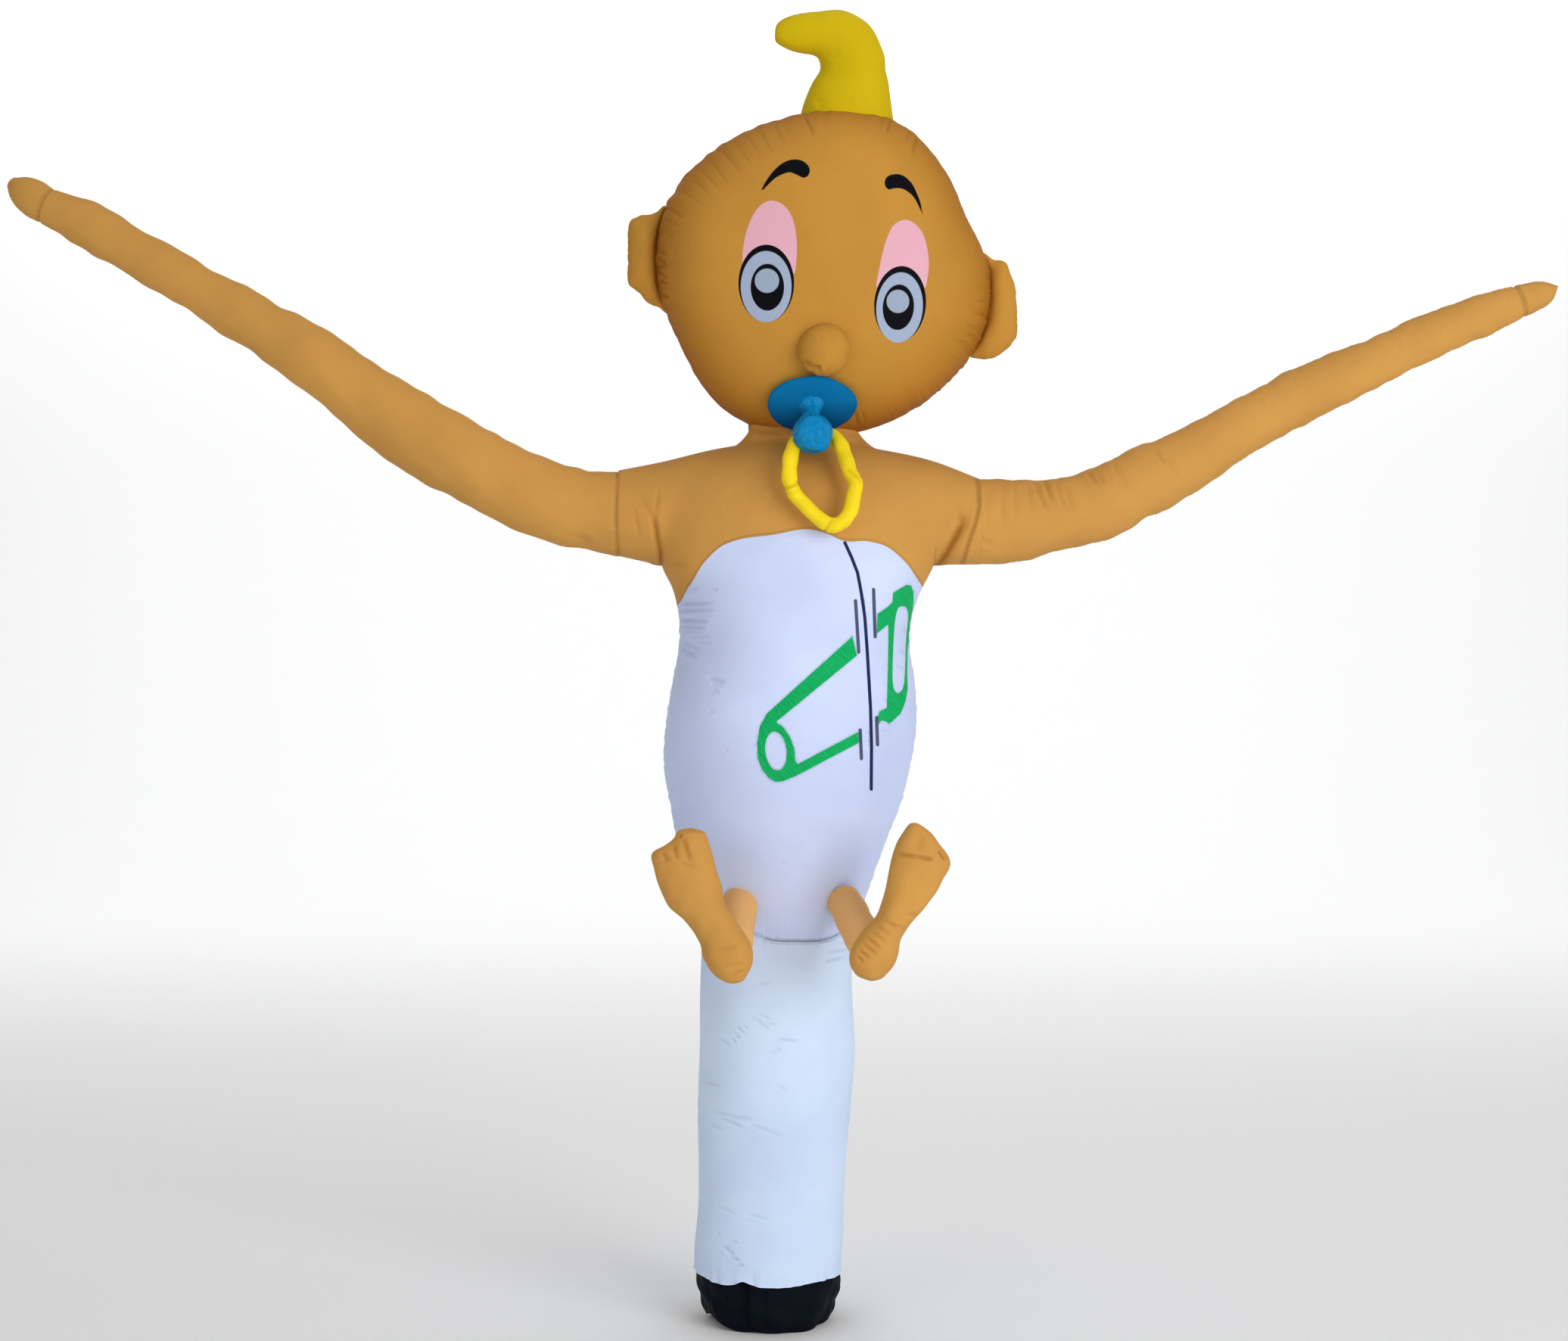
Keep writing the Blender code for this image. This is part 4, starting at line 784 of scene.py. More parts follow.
def nylon(name, colour, prints=(), rim=None, roughness=0.65, gloss=0.06, crumple=1.0, grain=(30, 30, 30)):
    """Woven coated cloth: the colour with soft blotches, the prints, a darker line of stitches
    beside each seam, painted shade in a band along each seam and in the troughs, and bumps from
    the threads, the tucks at the seams and fine crumples. grain is how many wrinkles there are to a
    metre along each axis. rim is a painted shade: the colour that the cloth deepens to towards its
    seam, and how far in that starts.

    A print is (kind, field, colour). An area covers where its field is below nothing, and a stroke
    covers where its side field is smaller than its reach field.
    """
    made = bpy.data.materials.new(name)
    made.use_nodes = True
    tree = made.node_tree
    shader = tree.nodes["Principled BSDF"]
    node = partial(add_node, tree)

    def attribute(field, output="Fac"):
        return node("Attribute", output=output, attribute_name=field)

    def noise(at, scale, detail, rough=0.5):
        return node("TexNoise", {"Vector": at, "Scale": scale, "Detail": detail, "Roughness": rough})

    def maths(operation, *values):
        return node("Math", dict(enumerate(values)), operation=operation)

    def mix(factor, first, second, blend="MIX"):
        inputs = {"Factor": factor, 6: first, 7: second}
        return node("Mix", inputs, 2, data_type="RGBA", blend_type=blend)

    def ramp(value, low, high, at_low, at_high):
        """A value rescaled from one range to another and held inside it."""
        inputs = {"Value": value, "From Min": low, "From Max": high, "To Min": at_low, "To Max": at_high}
        return node("MapRange", inputs)

    place = node("TexCoord", output="Object")
    weave = node("UVMap", output="UV", uv_map="Weave")
    blotch = noise(place, 2.6, 3.0)
    shown = mix(ramp(blotch, 0.3, 0.7, 0.0, 1.0), shaded(colour, 0.90), shaded(colour, 1.07))
    seam = attribute("seam")
    # Painted shade: the colour deepens to the rim colour towards the seam.
    if rim:
        rim_shade_colour, rim_width = rim
        shown = mix(maths("POWER", ramp(seam, 0.0, rim_width, 1.0, 0.0), 1.5), shown, rim_shade_colour)
    for kind, field, ink in prints:
        value = attribute(field)
        if kind == "stroke":
            value = maths("SUBTRACT", maths("ABSOLUTE", value), attribute(field + "_reach"))
        shown = mix(ramp(value, -PRINT_BLEED, PRINT_BLEED, 1.0, 0.0), shown, ink)

    beside = maths("ABSOLUTE", maths("SUBTRACT", seam, STITCH_INSET))
    beside = maths("LESS_THAN", beside, THREAD_HALF_WIDTH)
    dash = maths("MODULO", attribute("run"), STITCH_LENGTH)
    dash = maths("LESS_THAN", dash, STITCH_SHARE * STITCH_LENGTH)
    thread = maths("MULTIPLY", beside, dash)
    shown = mix(maths("MULTIPLY", thread, 0.5), shown, shaded(colour, 0.35))
    # Painted shade: the cloth darkens to 0.8 of its colour within 10 mm of each seam.
    shown = mix(1.0, shown, ramp(seam, 0.0, 0.010, 0.80, 1.0), "MULTIPLY")
    # Painted shade: troughs and turned-under parts darken towards a deeper tint of the colour.
    painted_shade_colour = (*(PAINTED_SHADE_TINT * (c / max(colour[:3])) ** 0.4 for c in colour[:3]), 1.0)
    shown = mix(attribute("hollow"), shown, painted_shade_colour, "MULTIPLY")
    tree.links.new(shown, shader.inputs["Base Color"])

    lines = {"Vector": weave, "Scale": WAVE_BAND / THREAD_PITCH}
    warp, weft = (node("TexWave", lines, 1, bands_direction=axis) for axis in "XY")
    stretched = node("Mapping", {"Vector": place, "Scale": grain})
    tucks = maths("SUBTRACT", noise(attribute("gather", "Vector"), 1.0, 1.0), 0.5)
    bumped = None
    for height, distance in (
        (maths("MAXIMUM", warp, weft), 0.00008),
        (noise(place, 34.0, 4.0, 0.55), 0.0010 * crumple),
        (noise(place, 11.0, 2.0), 0.0030 * crumple),
        (noise(stretched, 1.0, 2.0, 0.45), 0.0022 * crumple),
        (maths("MULTIPLY", tucks, attribute("pull")), 0.011),
    ):
        inputs = {"Height": height, "Distance": distance, "Strength": 0.6}
        if bumped is not None:
            inputs["Normal"] = bumped
        bumped = node("Bump", inputs)
    tree.links.new(bumped, shader.inputs["Normal"])
    shader.inputs["Roughness"].default_value = roughness
    shader.inputs["Specular IOR Level"].default_value = gloss
    return made


SKIN = linear(198, 142, 58)
# The deeper colour that the head's cloth is painted towards its seam: painted shade.
SKIN_RIM_SHADE = linear(160, 98, 20)
# A paler copy of SKIN: painted light on the body, arms and feet.
LIT_BODY_SKIN = linear(206, 151, 76)
# A still paler copy of SKIN: painted light on the brightly lit legs.
LIT_LEG_SKIN = linear(234, 180, 114)
NAPPY_WHITE = linear(206, 217, 252)
MAST_WHITE = linear(210, 227, 255)
BLACK = linear(12, 18, 26)
HAIR = linear(210, 180, 14)
BLUE = linear(4, 114, 170)
# A paler copy of BLUE: painted light on the knob, which faces up into the light.
LIT_KNOB_BLUE = linear(4, 134, 192)
GOLD = linear(255, 220, 26)
INK = linear(10, 10, 16)
PINK = linear(230, 174, 188)
EYE_GREY = linear(162, 175, 199)
EYE_LIGHT = linear(156, 170, 190)
GREEN = linear(22, 178, 98)
NAVY = linear(34, 38, 84)
STITCH_GREY = linear(80, 84, 114)


def upright(table, height, radius, angle):
    """Level circles round the tube's axis, which leans forward: most at the floor, and not at all
    at the body."""
    forward = MAST_LEAN * np.clip(1 - height / MAST_SEAM, 0, 1) ** 1.5
    x = table("middle", height) + radius * np.cos(angle)
    return stacked(x, radius * np.sin(angle) - forward, height)


def build_cuff():
    """A round sleeve: its radius follows the height, plus soft gathers that grow towards the hem."""
    across, up = lattice(240, 44)
    angle = 2 * np.pi * across
    degrees = turn_degrees(angle)
    hem, top = HEM_EDGE("height", degrees), CUFF_EDGE("height", degrees)
    height = between(hem, top, up)
    gathers = 0.5 * np.sin(5 * angle + 0.6) + 0.3 * np.sin(8 * angle + 2.1) + 0.2 * np.sin(3 * angle)
    points = upright(CUFF, height, CUFF("radius", height) + CUFF("fold", height) * gathers, angle)
    pleat = np.zeros(angle.shape)
    for at, depth, width in ((251, 0.016, 3.6), (268, 0.005, 3.0), (214, 0.007, 6.0), (300, 0.006, 9.0)):
        pleat -= depth * near_angle(angle, at, width) * up ** 0.4
    slant = 0.004 * np.sin(degrees / 9 + 9 * up) * (1 - up) * up * 4
    points = push(points, pleat + slant + 0.0022 * dents(points, 0.07, 4) * (1 - up * 0.5))
    points[..., 2] = np.maximum(points[..., 2], 0)
    seam = top - height
    edge = np.minimum(seam, np.abs(height - hem - 0.012))
    fields = round_seam(CUFF_SEAM_RADIUS, angle, seam, 0.8, 0.04)
    skin = Skin().add(points, seam=edge, hollow=hollowness(pleat, 0.020), **fields)
    cloth = nylon("black_nylon", BLACK, gloss=0.04, crumple=1.8)
    piece = skin.finish("base_cuff", "black_nylon", cloth, "cuff_cloth", wall=0.002)


def build_mast():
    """A round tube that leans forward a little and is dented where the cloth pulls. Its columns
    stand closer together at the front, by a cosine taken off the angle."""
    across, up = lattice(300, 330)
    angle = 2 * np.pi * across
    angle = angle - 0.42 * np.cos(angle)
    degrees = turn_degrees(angle)
    low, high = CUFF_EDGE("height", degrees), WAIST_EDGE("height", degrees)
    height = between(low, high, up)
    points = upright(MAST, height, MAST("radius", height), angle)
    from_top, from_low = high - height, height - low
    seam = np.minimum(from_top, from_low)
    crease = creases(points, MAST_CREASES)
    amount = crease + 0.0022 * dents(points * (1, 1, 0.7), 0.21, 5) * np.minimum(1, seam / 0.08)
    amount += 0.0016 * ridged(points, 0.10, (0.5, 0.5, 2.4), 55) * held(dents(points, 0.28, 57))
    amount += 0.0012 * waves(angle, 34, 11) * fading(from_top, 0.035) * np.minimum(1, from_top / 0.012)
    amount += 0.0020 * waves(angle, 26, 12) * fading(from_low, 0.030)
    amount += 0.0030 * fading(from_low, 0.012) - 0.0025 * fading(from_top, 0.010)
    points = push(points, amount)
    fields = round_seam(MAST_SEAM_RADIUS, angle, seam, 0.35, 0.035)
    skin = Skin().add(points, seam=from_top, hollow=hollowness(crease, 0.014), **fields)
    white = nylon("white_nylon", MAST_WHITE, crumple=1.15, grain=(11, 11, 52))
    piece = skin.finish("mast_tube", "white_nylon", white, "mast_cloth")


def half_ellipse(half_depth, offset):
    return half_depth * np.sqrt(np.clip(1 - offset ** 2, 0, None))


def shoulder_depth(x, height):
    """Half depth of the level tube of the shoulders alone."""
    offset = (height - SHOULDERS("middle", x)) / SHOULDERS("half_height", x)
    return half_ellipse(SHOULDERS("half_depth", x), offset)


def run_together(first, second):
    return (first ** 4 + second ** 4) ** 0.25


def chest_depth(x, height):
    """Half depth of the chest: the barrel, an ellipse at every height, and the shoulder tube."""
    offset = (x - TORSO("middle", height)) / TORSO("half_width", height)
    return run_together(half_ellipse(TORSO("half_depth", height), offset), shoulder_depth(x, height))


def shoulder_line(x):
    """The chest's highest point at each x, found by halving, and at most the neck's foot."""
    low = np.full(np.shape(x), ARMPIT + 0.15)
    high = np.full(np.shape(x), NECK_FOOT)
    top = (chest_depth(x, high) > 0) | (np.abs(np.abs(x - NECK_MIDDLE) - NECK_HALF_WIDTH) < 1e-5)
    for _ in range(30):
        middle = (low + high) / 2
        inside = chest_depth(x, middle) > 1e-5
        low, high = np.where(inside, middle, low), np.where(inside, high, middle)
    return np.where(top, NECK_FOOT, low)


def torso_x(across, height):
    return TORSO("middle", height) - TORSO("half_width", height) * np.cos(np.pi * across)


def at_side(across):
    return (across <= 0) | (across >= 1)


def barrel(side, across, height, swell=0.0):
    """The torso's front or back half, below the arms: half an ellipse round, joined to the
    shoulder tube's depth by a fourth-power sum, and moved out from its axis by swell."""
    x = torso_x(across, height)
    depth = run_together(TORSO("half_depth", height) * np.sin(np.pi * across), shoulder_depth(x, height))
    depth = np.where(at_side(across), 0, depth + swell * np.sin(np.pi * across))
    return stacked(x - swell * np.cos(np.pi * across), side * depth, height)


def print_fields(points):
    """Signed distances to the printed pin, and the fields of the fold line and its stitches."""
    x, z = seen(points)
    wire = np.maximum(edge_distance(x, z, PIN_WIRE), -ellipse_distance(x, z, *PIN_COIL_HOLE))
    clasp = np.maximum(edge_distance(x, z, PIN_CLASP), -edge_distance(x, z, smooth_outline(PIN_SLOT)))
    fold, fold_reach = stroke_fields(x, z, [FOLD_LINE], FOLD_HALF_WIDTH)
    stitch, stitch_reach = stroke_fields(x, z, PIN_STITCHES, STITCH_HALF_WIDTH)
    return {
        "pin": np.minimum(wire, clasp),
        "fold": fold,
        "fold_reach": fold_reach,
        "stitch": stitch,
        "stitch_reach": stitch_reach,
    }


def ripple_pin(points, fields):
    """Swaps the tucks for fine ripples across the slanting bars where the pin is printed."""
    x, z = seen(points)
    inside = held(0.5 - fields["pin"] / 0.008)
    place = stacked((x + z) / PIN_RIPPLE_PITCH, (x - z) / PIN_RIPPLE_LENGTH, 0)
    fields["gather"] = np.where(inside[..., None] > 0, place, fields["gather"])
    fields["pull"] = np.where(inside > 0, 1.7 * inside, fields["pull"])


def build_nappy():
    prints = [("area", "pin", GREEN), ("stroke", "fold", NAVY), ("stroke", "stitch", STITCH_GREY)]
    grain = (16, 16, 42)
    printed = nylon("printed_white_nylon", NAPPY_WHITE, prints, grain=grain)
    white = nylon("nappy_nylon", NAPPY_WHITE, grain=grain)
    for side, word, fineness, edge in HALVES:
        fraction, up = lattice(150 * fineness, 110 * fineness, closed=False)
        across = facing(fraction, side)
        foot = WAIST_EDGE("height", turn_degrees(np.pi * (1 - across) * side))
        top = edge("height", fraction)
        height = between(foot, top, up)
        points = barrel(side, across, height)
        from_foot = height - foot
        from_side = np.minimum(across, 1 - across) * 1.1
        crease = creases(points, NAPPY_CREASES)
        swell = crease + 0.0025 * dents(points, 0.30, 7) * np.minimum(1, from_foot / 0.06)
        swell += 0.0008 * waves(np.pi * across * 2, 40, 21) * fading(from_foot, 0.035)
        swell += 0.0018 * waves(height * 2 * np.pi, 26, 22) * fading(from_side, 0.05)
        swell -= 0.0030 * fading(from_foot, 0.012) + 0.0040 * fading(from_side, 0.010)
        swell *= held((top - height) / 0.02)
        points = barrel(side, across, height, swell)
        seam = np.minimum(from_foot, from_side)
        low = from_foot < from_side
        along_a = np.where(low, points[..., 0], 0)
        along_b = np.where(low, points[..., 1], height + 9)
        fields = gathered(along_a, along_b, seam, np.where(low, 0.3, 0.7), 0.045)
        if side == FRONT:
            fields.update(print_fields(points))
            ripple_pin(points, fields)
        fields["hollow"] = hollowness(crease, 0.018)
        skin = Skin().add(points, closed=False, seam=seam, run=height + across, **fields)
        piece = skin.finish(f"nappy_{word}", "white_nylon", printed if side == FRONT else white)


def neck_x(across):
    """Where each column of the chest meets the top line."""
    left, right = NECK_MIDDLE - NECK_HALF_WIDTH, NECK_MIDDLE + NECK_HALF_WIDTH
    shoulder = between(SHOULDERS.knots[1], left, across / NECK_FROM)
    far_shoulder = between(right, SHOULDERS.knots[-2], (across - NECK_TO) / (1 - NECK_TO))
    neck = between(left, right, eased(held((across - NECK_FROM) / (NECK_TO - NECK_FROM))))
    return np.where(across < NECK_FROM, shoulder, np.where(across > NECK_TO, far_shoulder, neck))


def chest_cloth(side, x, height):
    """Points of the chest with its creases, and how deep they are, for the painted shade in them. The
    creases move the cloth straight to the front, and fade out where the chest turns away at its outline."""
    depth = chest_depth(x, height)
    depth = np.where(depth > 1e-4, depth, 0.0)
    points = stacked(x, side * depth, height)
    crease = folds(points, CHEST_FOLDS) if side == FRONT else 0 * depth
    move = crease + 0.0028 * dents(points, 0.26, 9)
    points[..., 1] += side * move * depth / (depth + 0.03) * (depth > 0)
    return points, hollowness(crease, 0.014)


def build_chest(skin_cloth):
    """Each half is four grids: a band above the nappy, the breast up to the shoulder line, the
    neck, and the sleeve stubs."""
    for side, word, fineness, edge in HALVES:
        columns, rows = 96 * fineness, 45 * fineness
        skin = Skin()

        def lay(x, height, on_seam, seam=0.2):
            points, hollow = chest_cloth(side, x, height)
            points[..., 1] = np.where(on_seam, 0, points[..., 1])
            tucks = gathered(0, 0, 1 + 0 * x, 0, 1)
            skin.add(points, closed=False, flat=True, seam=seam, run=x, hollow=hollow, **tucks)

        def fractions(columns, rows):
            fraction, up = lattice(columns, rows, closed=False)
            across = facing(fraction, side)
            return fraction, across, ARMPIT + ARMPIT_RISE * np.sin(np.pi * across), up

        fraction, across, armpit_line, up = fractions(columns, rows // 4)
        height = between(edge("height", fraction), armpit_line, up)
        lay(torso_x(across, height), height, at_side(across), seam=height - edge("height", fraction))

        fraction, across, armpit_line, up = fractions(columns, rows)
        top = neck_x(across)
        x = between(torso_x(across, armpit_line), top, eased(up))
        lay(x, between(armpit_line, shoulder_line(top), eased(up)), (up == 0) & at_side(across))

        fraction, across, _, up = fractions(round((NECK_TO - NECK_FROM) * columns), rows // 6)
        lay(neck_x(between(NECK_FROM, NECK_TO, across)), between(NECK_FOOT, NECK_TOP, up), False)

        for end, inner_top, seam_x in ((0, *SHOULDERS.knots[1::-1]), (1, *SHOULDERS.knots[-2:])):
            fraction, across, _, up = fractions(rows // 2, rows)
            out = across if end == 1 else 1 - across
            x = between(between(torso_x(end, ARMPIT), inner_top, up), seam_x, out)
            low = SHOULDERS("middle", x) - SHOULDERS("half_height", x)
            height = between(between(ARMPIT, low, np.minimum(1, out * 3)), shoulder_line(x), eased(up))
            points, hollow = chest_cloth(side, x, height)
            from_sleeve = np.abs(x - seam_x)
            if end == 0 or side == BACK:
                points[..., 1] -= side * 0.004 * fading(from_sleeve, 0.008) * (points[..., 1] != 0)
            else:
                from_sleeve = bent_line(*seen(points), RIGHT_SLEEVE_SEAM)[0]
            points[..., 1] = np.where(at_side(up), 0, points[..., 1])
            fields = {"seam": from_sleeve, "run": height, "hollow": hollow}
            fields.update(gathered(0, height, from_sleeve, 0.5, 0.035))
            skin.add(points, closed=False, flat=True, **fields)
        piece = skin.finish(f"chest_{word}", "skin_nylon", skin_cloth)


def tube(middle, direction, aside, radius, around):
    """Circles across a path. They start where the path's direction crosses aside."""
    sideways = unit(np.cross(direction, aside))
    angle = 2 * np.pi * around[..., None]
    circle = np.cos(angle) * sideways + np.sin(angle) * np.cross(direction, sideways)
    return middle + np.asarray(radius)[..., None] * circle


def build_arms(skin_cloth):
    """Round sections across a path, whose direction is its slope. It starts straight out of the
    sleeve. The rows stand closer together towards the tip."""
    for name, table, way, tip, seed, wrinkled in (
        ("arm_left", LEFT_ARM, -1, 0.945, 31, 0.15),
        ("arm_right", RIGHT_ARM, 1, 0.955, 33, 1.0),
    ):
        around, up = lattice(104, 330)
        along = np.where(up > 0.5, np.sin(up * np.pi / 2), up * math.sqrt(2))
        slope = table.place(np.minimum(1, along + 0.01)) - table.place(np.maximum(0, along - 0.01))
        settled = np.minimum(1, along / 0.12)[..., None]
        direction = unit(between(way * SIDEWAYS, unit(slope), settled))
        radius = np.maximum(table("radius", along), 0)
        points = tube(table.place(along), direction, (0, 0, 1), radius, around)
        length = ARM_LENGTH * along
        angle = 2 * np.pi * around
        crease = creases(points, ARM_CREASES)
        amount = crease + 0.0034 * dents(points * (1, 0.5, 1), 0.22, seed)
        amount += 0.0010 * dents(points, 0.085, 35)
        amount += 0.0018 * waves(length, 40, 37) * np.abs(np.sin(angle)) ** 6
        amount += 0.0014 * ridged(points, 0.09, (2.6, 0.6, 0.6), 39) * wrinkled
        cap = np.abs(length - ARM_LENGTH * tip)
        amount -= 0.0035 * bell(cap, 0.006)
        amount *= held((1 - along) / 0.03)
        from_root = length + 0.02
        if name == "arm_left":
            from_root = length
            amount -= 0.0040 * fading(length, 0.008)
        points = push(points, amount)
        near = np.minimum(from_root, cap)
        fields = round_seam(ARM_SEAM_RADIUS, angle, near, 0.6, 0.035)
        skin = Skin().add(points, seam=near, hollow=hollowness(crease, 0.016), **fields)
        piece = skin.finish(name, "skin_nylon", skin_cloth)


def head_surface(angle, share, side, rim_scale):
    """A round panel blown out from its seam: the reach is the outline's radius times the share of
    the way out, and the rise is the root of one less that share to a power."""
    reach = HEAD_OUTLINE("radius", turn_degrees(angle)) * share * rim_scale
    rise = HEAD_HALF_DEPTH * np.sqrt(np.clip(1 - share ** HEAD_FULLNESS, 0, None))
    return HEAD_MIDDLE + stacked(reach * np.cos(angle), side * rise, reach * np.sin(angle))


def build_head():
    """Two blown panels. Their seam is gathered most at the upper left, at the top and by the left
    ear, and scalloped in front of the right ear."""
    areas = (
        ("lids", PINK),
        ("eye_rim", INK),
        ("eye_white", EYE_GREY),
        ("eye_iris", INK),
        ("eye_light", EYE_LIGHT),
        ("brows", INK),
    )
    # Painted shade: the head's colour deepens towards its seam.
    rim = (SKIN_RIM_SHADE, 0.32)
    printed = nylon("printed_skin_nylon", SKIN, [("area", *area) for area in areas], rim)
    plain = nylon("head_nylon", SKIN, rim=rim)
    for side, word, fineness, _ in HALVES:
        fraction, inward = lattice(380 * fineness, 52 * fineness)
        angle = 2 * np.pi * facing(fraction, side)
        share = np.sin((1 - inward) * np.pi / 2)
        low_right = near_angle(angle, 335, 28)
        gathers = 0.30 + 0.85 * (near_angle(angle, 140, 38) + 0.7 * near_angle(angle, 78, 22))
        gathers += 0.9 * near_angle(angle, 180, 20) + 0.45 * low_right
        pleats = waves(angle, 92, 41)
        troughs = -held((0.25 - np.abs(pleats)) / 0.25)
        scallops = 0.0035 * waves(angle, 130, 44) * low_right
        ragged = 1 + (0.0040 * gathers * waves(angle, 40, 43) + scallops) * share ** 6
        points = head_surface(angle, share, side, ragged)
        steps = np.linalg.norm(np.diff(points, axis=0), axis=2)
        from_seam = np.vstack((np.zeros((1, steps.shape[1])), np.cumsum(steps, axis=0)))
        from_rim = (1 - share) * HEAD_SEAM_RADIUS + 0.12 * (1 - share ** 2)
        reach = 0.040 * (1 + 0.7 * waves(angle, 31, 45))
        rise = held(from_rim / 0.010)
        crease = creases(points, HEAD_CREASES, lip=0.15) * rise
        near = fading(from_rim, np.maximum(reach, 0.012)) * rise
        crease += 0.0020 * gathers * (troughs + 0.2 * pleats) * near
        amount = crease + (0.0035 * dents(points, 0.30, 47) - 0.005 * fading(from_rim, 0.012)) * rise
        points = push(points, amount)
        points[..., 1] = np.where(inward == 0, 0, points[..., 1])
        fields = {"seam": from_seam, "hollow": hollowness(crease, 0.0075)}
        if side == FRONT:
            x, z = seen(points)
            for name, ellipses in EYES.items():
                fields[name] = np.minimum(*(ellipse_distance(x, z, *ellipse) for ellipse in ellipses))
            for name, pair in (("lids", (LEFT_LID, RIGHT_LID)), ("brows", (LEFT_BROW, RIGHT_BROW))):
                fields[name] = np.minimum(*(edge_distance(x, z, smooth_outline(one)) for one in pair))
        fields.update(round_seam(HEAD_SEAM_RADIUS, angle, from_rim, 0.6 * gathers, 0.055))
        skin = Skin().add(points, flat=True, **fields)
        piece = skin.finish(f"head_{word}", "skin_nylon", printed if side == FRONT else plain)


def cushion(middle, reach, half_depth, angle, lean):
    """A flattened ball: from back to front its outline shrinks by the cosine of the lean and its
    depth grows by the sine."""
    reach = reach * np.cos(lean)
    return middle + stacked(reach * np.cos(angle), -half_depth * np.sin(lean), reach * np.sin(angle))


def beyond_head(points):
    """How far points lie outside the head's seam, along the line from its middle."""
    x, z = points[..., 0] - HEAD_MIDDLE[0], points[..., 2] - HEAD_MIDDLE[2]
    return np.hypot(x, z) - HEAD_OUTLINE("radius", turn_degrees(np.arctan2(z, x)))


def build_ears(skin_cloth):
    """Stuffed cushions with a puckered seam, pinched thin where they meet the head."""
    for name, middle, outline, seed in (
        ("ear_left", LEFT_EAR_MIDDLE, LEFT_EAR, 51),
        ("ear_right", RIGHT_EAR_MIDDLE, RIGHT_EAR, 53),
    ):
        angle, lean = ball_lattice(240, 70)
        degrees = turn_degrees(angle)
        radius = outline("radius", np.where(degrees > 315, degrees - 360, degrees))
        points = cushion(middle, radius, EAR_HALF_DEPTH, angle, lean)
        points = push(points, 0.0008 * waves(angle, 22, seed) * fading(np.abs(np.sin(lean)), 0.35))
        clear = held(beyond_head(points) / EAR_PINCH)
        points[..., 1] *= between(0.25, 1, np.sqrt(clear * (2 - clear)))
        points = push(points, 0.0014 * dents(points, 0.09, seed))
        edge = np.abs(lean) * 0.1
        fields = round_seam(EAR_SEAM_RADIUS, angle, edge, 0.5, 0.03)
        skin = Skin().add(points, seam=edge + 0.004, **fields)
        skin.finish(name, "skin_nylon", skin_cloth)


def build_nose(skin_cloth):
    """A ball that is pinched at its foot: its radius is drawn in by uneven tucks low on the left."""
    angle, lean = ball_lattice(120, 70)
    points = cushion(NOSE_MIDDLE, NOSE_RADIUS, NOSE_RADIUS, angle, lean)
    x, z = seen(points)
    rim = np.hypot(x - 0.124, z - 2.895) / 0.078
    tucks = waves(angle, 12, 61) * bell(rim - 1.0, 0.16) * (0.1 + near_angle(angle, 245, 50))
    crease = creases(points, NOSE_CREASES)
    points = push(points, 0.0020 * tucks + 0.0012 * dents(points, 0.06, 63) + crease)
    skin = Skin().add(points, flat=True, seam=0.2, run=angle, hollow=hollowness(crease, 0.022))
    skin.finish("nose", "skin_nylon", skin_cloth)


def ovals(table, along, angle, depth, squareness=1.0):
    """Flattened oval sections at a depth, between a table's left and right edges as seen."""
    left = unseen(table("left_x", along), depth, table("left_z", along))
    right = unseen(table("right_x", along), depth, table("right_z", along))
    rounded = np.sign(np.cos(angle)) * np.abs(np.cos(angle)) ** squareness
    points = (left + right) / 2 + (right - left) / 2 * rounded[..., None]
    points[..., 1] += np.maximum(table("half_depth", along), 0) * np.sin(angle)
    return points


def build_hair():
    around, up = lattice(120, 150)
    angle = 2 * np.pi * around
    points = ovals(HAIR_EDGES, up * HAIR_EDGES.knots[-1], angle, 0.0)
    amount = 0.0016 * dents(points, 0.13, 71) * held((1 - up) / 0.08)
    points = push(points, amount + creases(points, HAIR_CREASES))
    edge = np.minimum(np.abs(np.sin(angle / 2)), np.abs(np.cos(angle / 2))) * 0.2
    pull = gathered(up * 0.55, 0.3 * (np.cos(angle) > 0), edge, 0.5, 0.03)
    skin = Skin().add(points, seam=edge + 0.004, run=up * 0.55, **pull)
    skin.finish("hair_tuft", "hair_nylon", nylon("hair_nylon", HAIR), "hair_cloth")


def build_feet(skin_cloth):
    """Oval sections from heel to toes, with the creases between the toes on the sole alone."""
    for name, table, rows in (
        ("foot_left", LEFT_FOOT, LEFT_TOE_CREASES),
        ("foot_right", RIGHT_FOOT, RIGHT_TOE_CREASES),
    ):
        around, up = lattice(170, 230)
        points = ovals(table, table.knots[-1] * eased(up), 2 * np.pi * around, FOOT_DEPTH, 0.85)
        fade = held(np.minimum(up, 1 - up) / 0.05)
        sole = points[..., 1] < FOOT_DEPTH + 0.02
        crease = creases(points, rows, lip=0.25) * sole
        points = push(points, crease + 0.0018 * dents(points, 0.07, 81) * fade * sole)
        skin = Skin().add(points, flat=True, seam=0.2, run=up, hollow=hollowness(crease, 0.014))
        skin.finish(name, "skin_nylon", skin_cloth)


def build_legs():
    """Straight round sleeves from the body to the back of the feet."""
    # The legs' paler skin colour is painted light.
    lit_leg_cloth = nylon("lit_leg_nylon", LIT_LEG_SKIN)
    for name, ends in LEGS.items():
        hip, ankle = np.array(ends)
        around, up = lattice(80, 50)
        points = tube(between(hip, ankle, up[..., None]), unit(ankle - hip), (0, 0, 1), LEG_RADIUS, around)
        points = push(points, 0.0016 * dents(points, 0.08, 91))
        piece = Skin().add(points, seam=0.2, run=up).finish(name, "skin_nylon", lit_leg_cloth)


